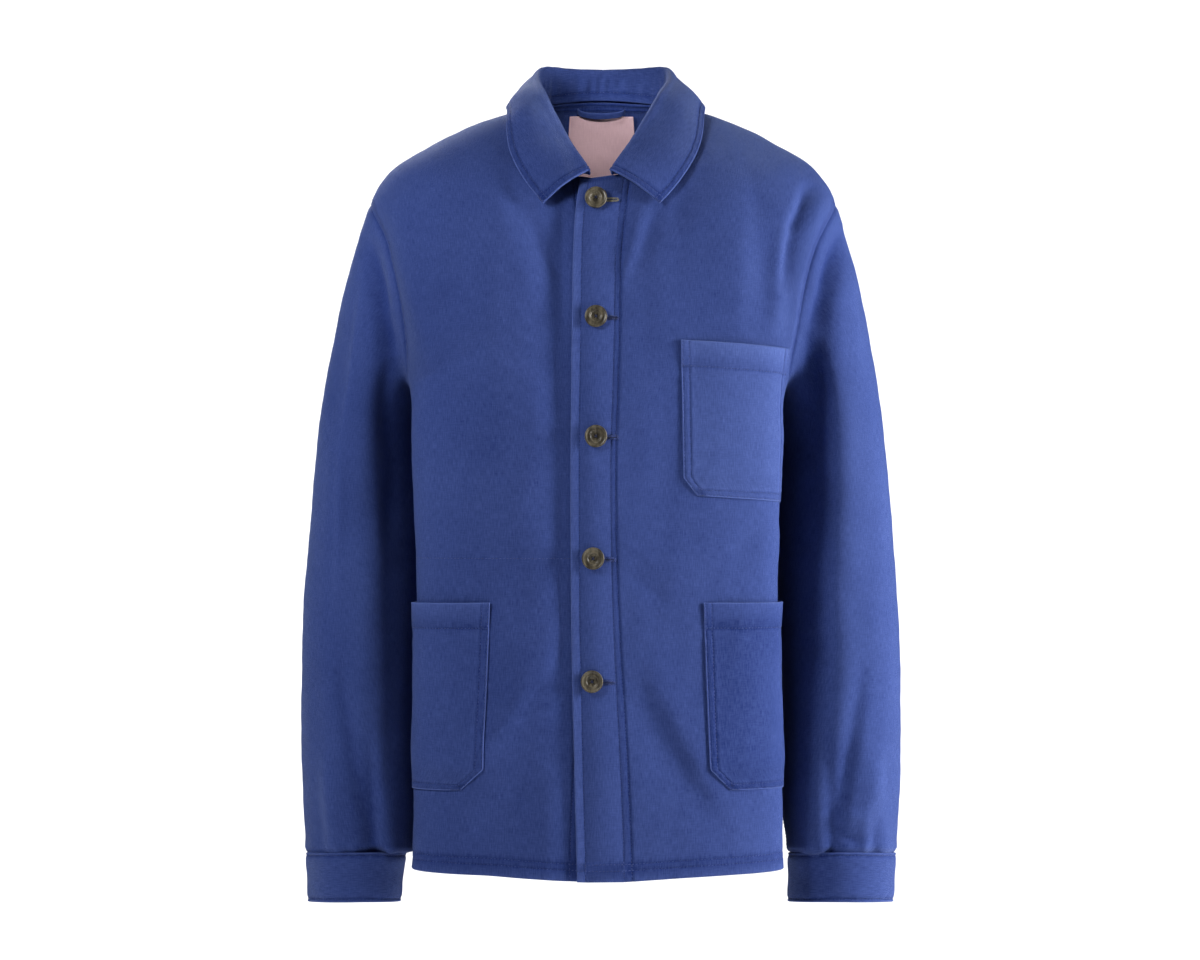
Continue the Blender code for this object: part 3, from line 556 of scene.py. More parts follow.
def armhole_level(turn: Array) -> Array:
    """Level of the armhole seam. The turn is 0 at the shoulder and pi / 2 in front."""
    return (SHOULDER + UNDERARM) / 2 + (SHOULDER - UNDERARM) / 2 * np.cos(turn)


def armhole(side: int, turn: Array) -> tuple[Array, Array]:
    """The armhole seam as (angle, level)."""
    reach = np.where(np.sin(turn) > 0.0, ARMHOLE_FRONT, ARMHOLE_BACK)
    return side * (math.pi / 2 - reach * np.sin(turn)), armhole_level(turn)


def sleeve_ring(side: int, turn: Array, z: Array) -> Array:
    """A point of the sleeve's tube: an ellipse between its four extreme points.

    Args:
        side: -1 on the right, 1 on the left.
        turn: Turn from the outside, over the front.
        z: Height, before the ring's tilt.

    Returns:
        Points.
    """
    ring = {name: column(SLEEVE, name, "z", z) for name in SleeveRing._fields[1:]}
    outer, inner, back, ahead = (ring[key] for key in ("outer_x", "inner_x", "back_y", "front_y"))
    middle_x, middle_y = (outer + inner) / 2, (ahead + back) / 2
    half_x, half_y = (outer - inner) / 2, (back - ahead) / 2
    forward = half_y * np.sin(turn)
    along_x = np.sqrt(half_x ** 2 - ring["turned"] ** 2)
    x = middle_x + along_x * np.cos(turn) + ring["turned"] * np.sin(turn)
    return np.stack([side * x, middle_y - forward, z + ring["tilt"] * forward], axis=-1)


def plain_sleeve(side: int, turn: Array, along: Array) -> Array:
    """Sleeve surface without folds: a cubic cap from the armhole, then the tube.

    Args:
        side: -1 on the right, 1 on the left.
        turn: Turn from the outside, over the front.
        along: Shares from the armhole (0) to the cuff (1).

    Returns:
        Points.
    """
    turn, along = np.broadcast_arrays(np.asarray(turn, float), np.asarray(along, float))
    top_z, end_z = SLEEVE[0].z, SLEEVE[-1].z
    angle, level = armhole(side, turn)
    start = torso_point(angle, level)
    seam = torso_point(*armhole(side, turn + TINY)) - torso_point(*armhole(side, turn - TINY))
    inward = side * unit(np.cross(normal_of(torso_point, angle, level), seam))
    top = sleeve_ring(side, turn, np.full_like(turn, top_z))
    below = sleeve_ring(side, turn, np.full_like(turn, top_z - TINY))
    down = unit(below - top)
    chord = np.linalg.norm(top - start, axis=-1, keepdims=True)
    under = ((1.0 - np.cos(turn)) / 2)[..., None] ** 3
    over = np.maximum(np.cos(turn), 0.0)[..., None] ** 2
    outward = side * np.array([1.0, 0.0, 0.0])
    leant = CAP_LEAN * (1.0 - under)
    lean = unit(inward * (1.0 - leant) + unit(top - start) * leant + outward * CAP_ROUND * over)
    share = np.clip(along / CAP_SHARE, 0.0, 1.0)[..., None]
    cap = hermite(start - SLEEVE_TUCK * inward, top,
                  lean * (chord * CAP_SLOPE + UNDERARM_SLACK * under),
                  down * chord * (1.0 + CAP_SLOPE * under), share)
    z = top_z + (end_z - top_z) * np.maximum((along - CAP_SHARE) / (1.0 - CAP_SHARE), 0.0)
    return np.where((along < CAP_SHARE)[..., None], cap, sleeve_ring(side, turn, z))


CUFF_TOP = -0.6904
CUFF_HEIGHT = 0.0450
CUFF_FRONT_Y, CUFF_BACK_Y = -0.065, 0.027
CUFF_TILT = 0.10


def cuff_ring(side: int, rims: CuffRims, turn: Array, down: Array) -> Array:
    """A point of a cuff: an ellipse between its rims, tilted forwards.

    Args:
        side: -1 on the right, 1 on the left.
        rims: The x of its rims.
        turn: Turn from the outside, over the front.
        down: Shares from its top to its foot.

    Returns:
        Points.
    """
    outer = rims.outer_top + (rims.outer_bottom - rims.outer_top) * down
    inner = rims.inner_top + (rims.inner_bottom - rims.inner_top) * down
    x = (outer + inner) / 2 + (outer - inner) / 2 * np.cos(turn)
    forward = (CUFF_BACK_Y - CUFF_FRONT_Y) / 2 * np.sin(turn)
    z = CUFF_TOP - CUFF_HEIGHT * down + CUFF_TILT * forward
    return np.stack([side * x, (CUFF_FRONT_Y + CUFF_BACK_Y) / 2 - forward, z], axis=-1)


def crease_height(points: Array, creases: Sequence[Crease]) -> Array:
    """Sum of the creases' heights: across each line a bell with its own reach on either side,
    along it a rise and fall.

    Args:
        points: Points in space.
        creases: The creases.

    Returns:
        Heights.
    """
    total = np.zeros(points.shape[:-1])
    place = points[..., [0, 2]]
    for crease in creases:
        start, line = np.array(crease.start), np.array(crease.end) - np.array(crease.start)
        share = np.clip((place - start) @ line / (line @ line), 0.0, 1.0)
        off = place - start - share[..., None] * line
        away = np.linalg.norm(off, axis=-1)
        reach = np.where(off[..., 0] < 0.0, crease.left, crease.right)
        both = crease.fade is Fade.BOTH
        taper = np.sin(math.pi * share) ** 0.8 if both else ease(share * 1.1)
        total += crease.height * taper * np.exp(-(away / reach) ** 2)
    return total


def ripple(points: Array) -> Array:
    """Slow unevenness of worn cloth: the sum of the waves, each the product of two sines.

    Args:
        points: Points in space.

    Returns:
        Heights.
    """
    total = np.zeros(points.shape[:-1])
    for wave in RIPPLES:
        first, second = (np.sin(points @ np.array(way[:3]) + way[3]) for way in wave[1:])
        total += wave.height * first * second
    return total


def body_relief(points: Array) -> Array:
    """Height of all soft folds on the body's front and back.

    Args:
        points: Points of the plain body.

    Returns:
        Heights.
    """
    front = ease((FRONT_FROM_Y - points[..., 1]) / FRONT_WITHIN)
    return (fold_height(points, TORSO_LINES) + crease_height(points, FRONT_CREASES) * front
            + crease_height(points, BACK_CREASES) * (1.0 - front) + ripple(points))


def in_valley(points: Array, distance: Array, reach: float) -> Array:
    """Push points straight back into the fold in which the armhole seam lies at the front, by
    their height and as a bell of their distance from the seam.

    Args:
        points: Points of a piece.
        distance: Their distances from the seam.
        reach: Half the fold's width on that piece.

    Returns:
        The moved points.
    """
    y, z = points[..., 1], points[..., 2]
    between = ease((VALLEY_TOP_Z - z) / VALLEY_FADE) * ease((z - VALLEY_FOOT_Z) / VALLEY_FADE)
    depth = VALLEY_DEPTH * between * ease(-y / 0.02) * np.exp(-(distance / reach) ** 2)
    return points + depth[..., None] * np.array([0, 1, 0])


def worn_torso(angle: Array, level: Array) -> tuple[Array, Array]:
    """Body surface with every fold, and its normals.

    Args:
        angle: Angles from the front centre over the wearer's left side.
        level: Levels from the hem (0) to the neck seam (1).

    Returns:
        Points and outward normals.
    """
    plain = plain_torso(angle, level)
    normals = normal_of(plain_torso, np.asarray(angle, float), np.asarray(level, float))
    return plain + body_relief(plain)[..., None] * normals, normals


def side_limit(level: Array) -> Array:
    """Angle from the centre to a panel's side or shoulder seam, less half the seam's gap."""
    return math.pi / 2 - SEAM / 2 / column(TORSO, "side_x", "level", level)


def front_depth(level: Array) -> Array:
    """Distance of the front centre from the ring's middle."""
    return column(TORSO, "side_y", "level", level) - column(TORSO, "front_y", "level", level)


def front_start(level: Array) -> Array:
    """Angle of the cloth's edge past the front centre."""
    return -np.arctan(smooth(FRONT_EDGE_LEVELS, FRONT_EDGE_X, level) / front_depth(level))


def panel_places(start_of: Callable[[Array], Array], reach: float, across: Array,
                 up: Array) -> tuple[Array, Array]:
    """Half the body's front or back as (angle, level): straight rows from its start to the side
    seam and armhole, which bend at the top to the neckline and the shoulder seam.

    Args:
        start_of: Angle of the panel's start at each level.
        reach: Reach in angle of the armhole.
        across: Shares across the panel, on a grid.
        up: Shares up the panel, on the same grid.

    Returns:
        Angles from the centre and levels.
    """
    turn = math.pi * (1.0 - np.clip((up - UNDERARM) / (1.0 - UNDERARM), 0.0, 1.0))
    beside = up < UNDERARM
    right_level = np.where(beside, up, armhole_level(turn))
    right_angle = np.where(beside, side_limit(np.minimum(up, UNDERARM)),
                           math.pi / 2 - reach * np.sin(turn))
    on_seam = np.clip((across - NECK_SHARE) / (1.0 - NECK_SHARE), 0.0, 1.0)
    top_level = NECK - (NECK - SHOULDER) * on_seam
    start = start_of(np.array(1.0))
    top_angle = start + (side_limit(top_level) - start) * np.clip(across / NECK_SHARE, 0.0, 1.0)
    hold = up ** TOP_HOLD
    angle = ((1.0 - across) * start_of(up) + across * right_angle
             + hold * (top_angle - (1.0 - across) * start - across * math.pi / 2))
    level = ((1.0 - across) * up + across * right_level
             + hold * (top_level - (1.0 - across) - across * SHOULDER))
    return angle, level


# ---------------------------------------------------------------- grids and meshes


def near_lines(lines: Sequence[float]) -> Array:
    """Distances from an edge at which a grid needs rows: its rim and each stitch channel.

    Args:
        lines: Distances of the stitch lines.

    Returns:
        Distances, rising from 0.
    """
    steps = {0.0, RIM_ROW}
    for line in lines:
        steps |= {round(line + off, 5) for off in CHANNEL_ROWS}
    return np.array(sorted(steps))


def marks(total: Array, head: Sequence[float], tail: Sequence[float], count: int) -> Array:
    """Distances along runs of different lengths: close at the lines near either end, and evenly
    spread between them.

    Args:
        total: Length of each run.
        head: Stitch lines, by their distance from the start.
        tail: Stitch lines, by their distance from the end.
        count: Number of even cells between them.

    Returns:
        One row of distances per run.
    """
    total = np.asarray(total, float)[:, None]
    start, end = near_lines(head)[None, :], near_lines(tail)[None, ::-1]
    share = np.linspace(0.0, 1.0, count + 1)[None, 1:-1]
    middle = start[:, -1:] + (total - end[:, :1] - start[:, -1:]) * share
    return np.concatenate([np.repeat(start, len(total), 0), middle, total - end], axis=1)


def run_along(points: Array, axis: int) -> Array:
    """Distance of every grid point from the grid's first row (axis 0) or column (axis 1)."""
    steps = np.linalg.norm(np.diff(points, axis=axis), axis=-1)
    return np.concatenate([np.zeros_like(np.take(steps, [0], axis)), np.cumsum(steps, axis)], axis)


@dataclass
class Lines:
    """Stitch lines of a cloth piece, by their distance from each of its four edges."""

    left: tuple[float, ...] = ()
    right: tuple[float, ...] = ()
    foot: tuple[float, ...] = ()
    head: tuple[float, ...] = ()


@dataclass
class Layout:
    """Where a piece's grid points lie: shares across and up, and distances from its edges."""

    across: Array
    up: Array
    left: Array
    right: Array
    foot: Array
    head: Array

    def edge(self) -> Array:
        """Distance from the nearest edge."""
        return np.minimum(np.minimum(self.left, self.right), np.minimum(self.foot, self.head))


SAMPLES = (61, 81)          # columns and rows on which a surface is measured


def lay_out(surface: Surface, lines: Lines, cell: tuple[float, float],
            ring: bool = False) -> Layout:
    """Find the grid on a surface over the unit square whose rows and columns keep their
    distances from its edges, so that stitch lines run along them.

    Args:
        surface: Points for shares across and up.
        lines: Stitch lines near the edges.
        cell: Width and height of the cells between them.
        ring: Whether the surface is a tube, whose columns stay evenly turned.

    Returns:
        The grid.
    """
    across, up = (np.linspace(0.0, 1.0, count) for count in SAMPLES)
    upward = run_along(surface(*np.meshgrid(across, up)), 0)
    cells = max(int(round(upward[-1].max() / cell[1])), 4)
    wanted = marks(upward[-1], lines.foot, lines.head, cells)
    levels = np.stack([np.interp(row, run, up) for row, run in zip(wanted, upward.T)], axis=1)
    base = np.repeat(across[None, :], len(levels), axis=0)
    width = run_along(surface(base, levels), 1)
    if ring:
        columns = int(round(width[:, -1].max() / cell[0]))
        shares = np.repeat(np.linspace(0.0, 1.0, columns + 1)[None, :-1], len(levels), axis=0)
        places = shares * width[:, -1:]
    else:
        columns = max(int(round(width[:, -1].max() / cell[0])), 4)
        places = marks(width[:, -1], lines.left, lines.right, columns)
        shares = np.stack([np.interp(row, run, across) for row, run in zip(places, width)])
    follow = [np.stack([np.interp(share, across, row) for share, row in zip(shares, table)])
              for table in (levels, wanted.T, np.broadcast_to(upward[-1], levels.shape))]
    return Layout(shares, follow[0], places, width[:, -1:] - places, follow[1],
                  follow[2] - follow[1])


def channels(place: Layout, lines: Lines, depth: float) -> Array:
    """Stitch channels: a narrow bell-shaped dip along each line.

    Args:
        place: The grid.
        lines: Its stitch lines.
        depth: Depth of a channel.

    Returns:
        Heights, none above 0.
    """
    total = np.zeros_like(place.up)
    for distance, side in ((place.left, lines.left), (place.right, lines.right),
                           (place.foot, lines.foot), (place.head, lines.head)):
        for line in side:
            total += np.exp(-((distance - line) / CHANNEL_REACH) ** 2)
    return -depth * np.minimum(total, 1.0)


def doubled(distance: Array, reach: float, height: float = 0.00035) -> Array:
    """Cloth folded in under an edge: raised as far as it reaches, then down in a millimetre."""
    return height * (1.0 - ease((distance - reach) / EDGE_FALL))


def roping(along: Array, distance: Array, reach: float, pitch: float, height: float) -> Array:
    """Slanting puckers between an edge and its stitching: a wave along the edge, slanted by the
    distance from it and full only between the two.

    Args:
        along: Distances along the edge.
        distance: Distances from it.
        reach: Distance of the stitching.
        pitch: Length of a pucker.
        height: Its height.

    Returns:
        Heights.
    """
    window = np.sin(math.pi * np.clip(distance / reach, 0.0, 1.0))
    uneven = 0.6 + 0.4 * np.sin(along * 37.0 + 1.0)
    return height * window * uneven * np.sin(2.0 * math.pi * (along + 0.8 * distance) / pitch
                                             + 1.7 * np.sin(along * 55.0))


def edge_bell(distance: Array) -> Array:
    """From 1 at an edge to 0 two millimetres in: worn folded edges; painted shadow at a sleeve's head."""
    return np.exp(-(distance / EDGE_BELL_REACH) ** 2)


@dataclass
class Cloth:
    """A cloth surface on a grid.

    Attributes:
        points: Middle of the cloth.
        normals: Outward normals.
        wear_and_shade: Above 0 worn pale, below 0 painted shade in channels, troughs and seams.
        thickness: Its wall.
        ring: Whether the columns run round a tube and join up.
        crosswise: Whether the weave is turned by a quarter.
    """

    points: Array
    normals: Array
    wear_and_shade: Array
    thickness: float
    ring: bool = False
    crosswise: bool = False

    def places(self) -> Array:
        """Places on the flat cloth: the run across from the middle, and the run up.

        Returns:
            Two distances in metres for each grid point.
        """
        across, up = run_along(self.points, 1), run_along(self.points, 0)
        if not self.ring:
            across = across - across.mean(axis=1, keepdims=True)
        found = np.stack([across, up], axis=-1)
        return found[..., ::-1] if self.crosswise else found

    def face(self, side: int = 1) -> Array:
        """Points of the outer (1) or inner (-1) face."""
        return self.points + side * self.normals * self.thickness / 2

    def drawn(self) -> Array:
        """The grid with its free edges drawn in, which makes room for a rounded rim.

        Returns:
            Points.
        """
        points, drawn = self.points, self.points.copy()
        drawn[0] -= RIM * unit(points[0] - points[1])
        drawn[-1] -= RIM * unit(points[-1] - points[-2])
        if not self.ring:
            drawn[:, 0] -= RIM * unit(points[:, 0] - points[:, 1])
            drawn[:, -1] -= RIM * unit(points[:, -1] - points[:, -2])
        return drawn

    def shell(self) -> tuple[Array, Array, Array, Array]:
        """Closed wall: both faces drawn in at the edges, and a middle row at the true edge.

        Returns:
            Corners, four-cornered faces, flat place and wear with painted shade of each corner.
        """
        rows, columns = self.points.shape[:2]
        count, offset = rows * columns, self.normals * self.thickness / 2
        outer = (self.drawn() + offset).reshape(-1, 3)
        inner = (self.drawn() - offset).reshape(-1, 3)
        index = np.arange(count).reshape(rows, columns)
        wrap = np.concatenate([index, index[:, :1]], axis=1) if self.ring else index
        front = np.stack([wrap[:-1, :-1], wrap[:-1, 1:], wrap[1:, 1:], wrap[1:, :-1]], -1)
        front = front.reshape(-1, 4)
        if self.ring:
            loops = [index[0], index[-1][::-1]]
        else:
            loops = [np.concatenate([index[0], index[1:, -1], index[-1, -2::-1],
                                     index[-2:0:-1, 0]])]
        faces, base = [front, front[:, ::-1] + count], 2 * count
        for loop in loops:
            own = base + np.arange(len(loop))
            after, own_after = np.roll(loop, -1), np.roll(own, -1)
            faces += [np.stack([after, loop, own, own_after], -1),
                      np.stack([own_after, own, loop + count, after + count], -1)]
            base += len(loop)
        rim, faces = np.concatenate(loops), np.concatenate(faces)
        corners = np.concatenate([outer, inner, self.points.reshape(-1, 3)[rim]])
        a, b, _, d = faces[len(front) // 2]
        if np.cross(outer[b] - outer[a], outer[d] - outer[a]) @ offset.reshape(-1, 3)[a] < 0.0:
            faces = faces[:, ::-1]
        place, wear_and_shade = self.places().reshape(-1, 2), self.wear_and_shade.reshape(-1)
        flat = np.concatenate([place, place, place[rim]])[faces]
        if self.ring:
            axis = 1 if self.crosswise else 0
            full = place[:, axis].max()
            lag = flat[..., axis].max(axis=1, keepdims=True) - flat[..., axis]
            flat[..., axis] += np.where(lag > full / 2, full, 0.0)
        return corners, faces, flat, np.concatenate([wear_and_shade, wear_and_shade, wear_and_shade[rim]])

    def row(self, number: int, start: int = 0, stop: int | None = None, side: int = 1) -> "Seam":
        """The line along one grid row, on the outer or inner face."""
        return Seam(self.face(side)[number, start:stop], side * self.normals[number, start:stop])

    def column(self, number: int, start: int = 0, stop: int | None = None,
               side: int = 1) -> "Seam":
        """The line along one grid column, on the outer or inner face."""
        return Seam(self.face(side)[start:stop, number], side * self.normals[start:stop, number])


@dataclass
class Seam:
    """One line of stitching: its points on the cloth's face, and the face's normals there."""

    path: Array
    normals: Array


def nearest(distances: Array, wanted: float) -> int:
    """Number of the row or column whose distance is nearest to the wanted one."""
    return int(np.argmin(np.abs(distances - wanted)))


def make_mesh(name: str, corners: Array, faces: Array) -> bpy.types.Mesh:
    """Make a smooth mesh from faces of equal size.

    Args:
        name: Its name.
        corners: Places of its corners.
        faces: Corner numbers, a row for each face.

    Returns:
        The mesh.
    """
    mesh = bpy.data.meshes.new(name)
    size = faces.shape[1]
    mesh.vertices.add(len(corners))
    mesh.vertices.foreach_set("co", corners.astype(np.float32).ravel())
    mesh.loops.add(faces.size)
    mesh.loops.foreach_set("vertex_index", faces.astype(np.int32).ravel())
    mesh.polygons.add(len(faces))
    mesh.polygons.foreach_set("loop_start", np.arange(0, faces.size, size, dtype=np.int32))
    mesh.update(calc_edges=True)
    mesh.shade_smooth()
    return mesh


def place_piece(name: str, mesh: bpy.types.Mesh, finish: bpy.types.Material) -> bpy.types.Object:
    """Put a finished mesh in the scene, on the jacket's one body.

    Args:
        name: Piece name.
        mesh: Its mesh, already in place.
        finish: Its material.

    Returns:
        The object.
    """
    piece = bpy.data.objects.new(name, mesh)
    mesh.materials.append(finish)
    bpy.context.scene.collection.objects.link(piece)
    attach(piece, "root")
    LOG.info("%s: %d faces", name, len(mesh.polygons))
    return piece


# ---------------------------------------------------------------- stitching


@dataclass
class Thread:
    """Sewing thread: pitch of the stitches and sizes of one stitch, in metres."""

    pitch: float = 0.0032
    length: float = 0.0023
    width: float = 0.00062
    height: float = 0.00046
    sunk: float = 0.00012
    slant: float = 0.10

    def grain(self) -> tuple[Array, Array]:
        """One stitch: two rings of five round a short line, closed by a tip at either end.

        Returns:
            Its corners and triangles.
        """
        turn = np.linspace(0.0, 2.0 * math.pi, 6)[:-1]
        tip = np.array([[self.length / 2, 0.0, -self.sunk]])
        rings = [np.stack([np.full(5, along * self.length), self.width / 2 * np.cos(turn),
                           self.height / 2 * (0.7 + np.sin(turn)) - self.sunk], -1)
                 for along in (-0.27, 0.27)]
        ring, after = np.arange(5), (np.arange(5) + 1) % 5
        faces = [np.stack([np.zeros(5, int), 1 + after, 1 + ring], -1),
                 np.stack([1 + ring, 1 + after, 6 + after], -1),
                 np.stack([1 + ring, 6 + after, 6 + ring], -1),
                 np.stack([np.full(5, 11), 6 + ring, 6 + after], -1)]
        return np.concatenate([tip * (-1, 1, 1), *rings, tip]), np.concatenate(faces)

    def laid(self, seams: Sequence[Seam]) -> tuple[Array, Array]:
        """Stitches along the seams: one at every pitch, in the frame of the seam's run, its
        normal and the cross direction, each turned a few degrees as sewn thread is.

        Args:
            seams: Lines of stitching.

        Returns:
            Corners and faces of all stitches.
        """
        grain, grain_faces = self.grain()
        chance = np.random.default_rng(7)
        corners, faces, base = [], [], 0
        for seam in seams:
            run = run_along(seam.path[:, None], 0)[:, 0]
            count = int(run[-1] / self.pitch)
            if count < 1:
                continue
            at = (np.arange(count) + 0.5) * run[-1] / count
            middle, ahead, behind, up = (
                np.stack([np.interp(where, run, values[:, axis]) for axis in range(3)], -1)
                for where, values in ((at, seam.path), (at + self.length / 2, seam.path),
                                      (at - self.length / 2, seam.path), (at, seam.normals)))
            along, up = unit(ahead - behind), unit(up)
            cross = unit(np.cross(up, along))
            slant = chance.normal(self.slant, 0.05, (count, 1))
            along, cross = along + cross * slant, cross - along * slant
            placed = (middle[:, None] + grain[None, :, :1] * along[:, None]
                      + grain[None, :, 1:2] * cross[:, None] + grain[None, :, 2:] * up[:, None])
            corners.append(placed.reshape(-1, 3))
            first = base + len(grain) * np.arange(count)
            faces.append((grain_faces[None] + first[:, None, None]).reshape(-1, 3))
            base += len(grain) * count
        return np.concatenate(corners), np.concatenate(faces)

    def sew(self, name: str, seams: Sequence[Seam], finish: bpy.types.Material) -> bpy.types.Object:
        """Make all stitches of a piece as one object."""
        return place_piece(name, make_mesh(name, *self.laid(seams)), finish)


def sewn_piece(node: str, cloth: Cloth, seams: Sequence[Seam], finish: bpy.types.Material,
               sewing: bpy.types.Material, thread: Thread = Thread()) -> tuple[bpy.types.Object, bpy.types.Object]:
    """Make a cloth piece, with its UV map, its attribute of wear and painted shade, and its stitching.

    Args:
        node: The solid that it stands for, which names both.
        cloth: Its surface.
        seams: Its stitch lines.
        finish: Its material.
        sewing: The thread's material.
        thread: The thread.

    Returns:
        The piece and its stitching.
    """
    corners, faces, flat, wear_and_shade = cloth.shell()
    mesh = make_mesh(f"cloth_{node}", corners, faces)
    layer = mesh.uv_layers.new(name="cloth")
    layer.data.foreach_set("uv", flat.astype(np.float32).ravel())
    shade = mesh.attributes.new("wear_and_shade", "FLOAT", "POINT")
    shade.data.foreach_set("value", wear_and_shade.astype(np.float32))
    piece = place_piece(mesh.name, mesh, finish)
    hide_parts(node)
    return piece, thread.sew(f"thread_{node}", seams, sewing)


# ---------------------------------------------------------------- finishes


class Graph:
    """A node tree under construction."""

    def __init__(self, tree: bpy.types.NodeTree) -> None:
        """Start on a tree."""
        self.tree = tree

    def node(self, kind: str, **settings: object) -> bpy.types.Node:
        """Add a node.

        Args:
            kind: Blender's name of its type.
            **settings: Values of its properties.

        Returns:
            The node.
        """
        made = self.tree.nodes.new(kind)
        for name, value in settings.items():
            setattr(made, name, value)
        return made

    def feed(self, node: bpy.types.Node, **inputs: object) -> bpy.types.Node:
        """Set or link a node's inputs.

        Args:
            node: The node.
            **inputs: Constants or outputs by input name, with _ for a space.

        Returns:
            The node.
        """
        for name, value in inputs.items():
            self.put(node.inputs[name.replace("_", " ")], value)
        return node

    def put(self, socket: bpy.types.NodeSocket, value: object) -> None:
        """Set a socket to a constant, or link it to an output.

        Args:
            socket: The input.
            value: The constant or output.
        """
        if isinstance(value, bpy.types.NodeSocket):
            self.tree.links.new(value, socket)
        else:
            socket.default_value = value

    def maths(self, operation: str, *values: object) -> bpy.types.NodeSocket:
        """One step of arithmetic.

        Args:
            operation: Blender's name of the step.
            *values: Constants or outputs.

        Returns:
            The result.
        """
        made = self.node("ShaderNodeMath", operation=operation)
        for socket, value in zip(made.inputs, values):
            self.put(socket, value)
        return made.outputs[0]

    def scaled(self, place: object, scale: tuple[float, float, float]) -> bpy.types.NodeSocket:
        """Multiply a place by a scale for each direction.

        Args:
            place: The place.
            scale: The three factors.

        Returns:
            The scaled place.
        """
        made = self.node("ShaderNodeVectorMath", operation="MULTIPLY")
        self.put(made.inputs[0], place)
        self.put(made.inputs[1], scale)
        return made.outputs[0]

    def noise(self, place: object, scale: float, detail: float = 2.0) -> bpy.types.NodeSocket:
        """Noise from 0 to 1 at a place."""
        made = self.node("ShaderNodeTexNoise")
        return self.feed(made, Vector=place, Scale=scale, Detail=detail).outputs["Fac"]

    def blend(self, share: object, low: object, high: object) -> bpy.types.NodeSocket:
        """Mix two colours.

        Args:
            share: Share of the second one.
            low, high: The colours.

        Returns:
            The mixed colour.
        """
        made = self.node("ShaderNodeMix", data_type="RGBA")
        self.put(made.inputs[0], share)
        self.put(made.inputs[6], low)
        self.put(made.inputs[7], high)
        return made.outputs[2]

    def ramp(self, value: object, low: float, high: float) -> bpy.types.NodeSocket:
        """Rise from 0 to 1 with soft ends.

        Args:
            value: An output.
            low: Where the rise starts.
            high: Where it ends.

        Returns:
            The risen value.
        """
        made = self.node("ShaderNodeMapRange", interpolation_type="SMOOTHSTEP")
        for socket, given in zip(made.inputs, (value, low, high, 0.0, 1.0)):
            self.put(socket, given)
        return made.outputs[0]


def node_group(name: str, inputs: Sequence[tuple[str, str]],
               outputs: Sequence[tuple[str, str]]) -> tuple[bpy.types.NodeTree, Graph, dict, dict]:
    """Start a shader node group.

    Args:
        name: Its name.
        inputs: Name and socket kind of each input.
        outputs: Name and socket kind of each output.

    Returns:
        The group, a graph on it, its input outputs and its output inputs by name.
    """
    tree = bpy.data.node_groups.new(name, "ShaderNodeTree")
    for direction, sockets in (("INPUT", inputs), ("OUTPUT", outputs)):
        for label, kind in sockets:
            tree.interface.new_socket(label, in_out=direction, socket_type=kind)
    graph = Graph(tree)
    given, result = graph.node("NodeGroupInput"), graph.node("NodeGroupOutput")
    return (tree, graph, {label: given.outputs[label] for label, _ in inputs},
            {label: result.inputs[label] for label, _ in outputs})


FLOAT, VECTOR = "NodeSocketFloat", "NodeSocketVector"


def weave_group() -> bpy.types.NodeTree:
    """Twill: slanting ribs, sin(2 pi (u + 1.6 v) / pitch), crossed by finer threads, and slubs,
    which are noises drawn out along either thread direction.

    Returns:
        The group.
    """
    tree, graph, given, result = node_group(
        "twill_weave", [("Place", VECTOR), ("Pitch", FLOAT), ("Slub", FLOAT)],
        [("Height", FLOAT), ("Streak", FLOAT)])
    parts = graph.node("ShaderNodeSeparateXYZ")
    graph.put(parts.inputs[0], given["Place"])
    u, v = parts.outputs[0], parts.outputs[1]
    wander = graph.maths("MULTIPLY", graph.noise(given["Place"], 900.0), 0.0006)
    slant = graph.maths("ADD", graph.maths("MULTIPLY_ADD", v, 1.6, u), wander)
    turn = graph.maths("MULTIPLY", graph.maths("DIVIDE", slant, given["Pitch"]), 2.0 * math.pi)
    rib = graph.maths("MULTIPLY_ADD", graph.maths("SINE", turn), 0.5, 0.5)
    step = graph.maths("MULTIPLY", graph.maths("DIVIDE", v, given["Pitch"]), 9.0)
    thread = graph.maths("MULTIPLY_ADD", graph.maths("SINE", step), 0.5, 0.5)
    warp = graph.noise(graph.scaled(given["Place"], (1.0, 0.12, 1.0)), 1100.0, 2.0)
    weft = graph.noise(graph.scaled(given["Place"], (0.12, 1.0, 1.0)), 1100.0, 2.0)
    streak = graph.maths("ADD", graph.maths("MULTIPLY", warp, 0.65),
                         graph.maths("MULTIPLY", weft, 0.35))
    height = graph.maths("MULTIPLY_ADD", thread, 0.35, rib)
    graph.put(result["Height"], graph.maths("MULTIPLY_ADD", streak, given["Slub"], height))
    graph.put(result["Streak"], streak)
    return tree


def fade_and_shade_group() -> bpy.types.NodeTree:
    """Washing out with painted shade: share of the pale colour, from slubs, wear on edges, painted
    shade in channels and troughs, and broad unevenness.

    Returns:
        The group.
    """
    tree, graph, given, result = node_group(
        "washed_out", [("Place", VECTOR), ("Streak", FLOAT), ("Wear", FLOAT), ("Amount", FLOAT)],
        [("Pale", FLOAT)])
    broad = graph.noise(given["Place"], 9.0, 3.0)
    patchy = graph.noise(given["Place"], 60.0, 3.0)
    base = 0.42
    for noise, weight in ((given["Streak"], 1.3), (broad, 0.30), (patchy, 0.14)):
        base = graph.maths("MULTIPLY_ADD", graph.maths("SUBTRACT", noise, 0.5), weight, base)
    base = graph.maths("MULTIPLY_ADD", given["Wear"], given["Amount"], base)
    clamp = graph.node("ShaderNodeClamp")
    graph.put(clamp.inputs[0], base)
    graph.put(result["Pale"], clamp.outputs[0])
    return tree


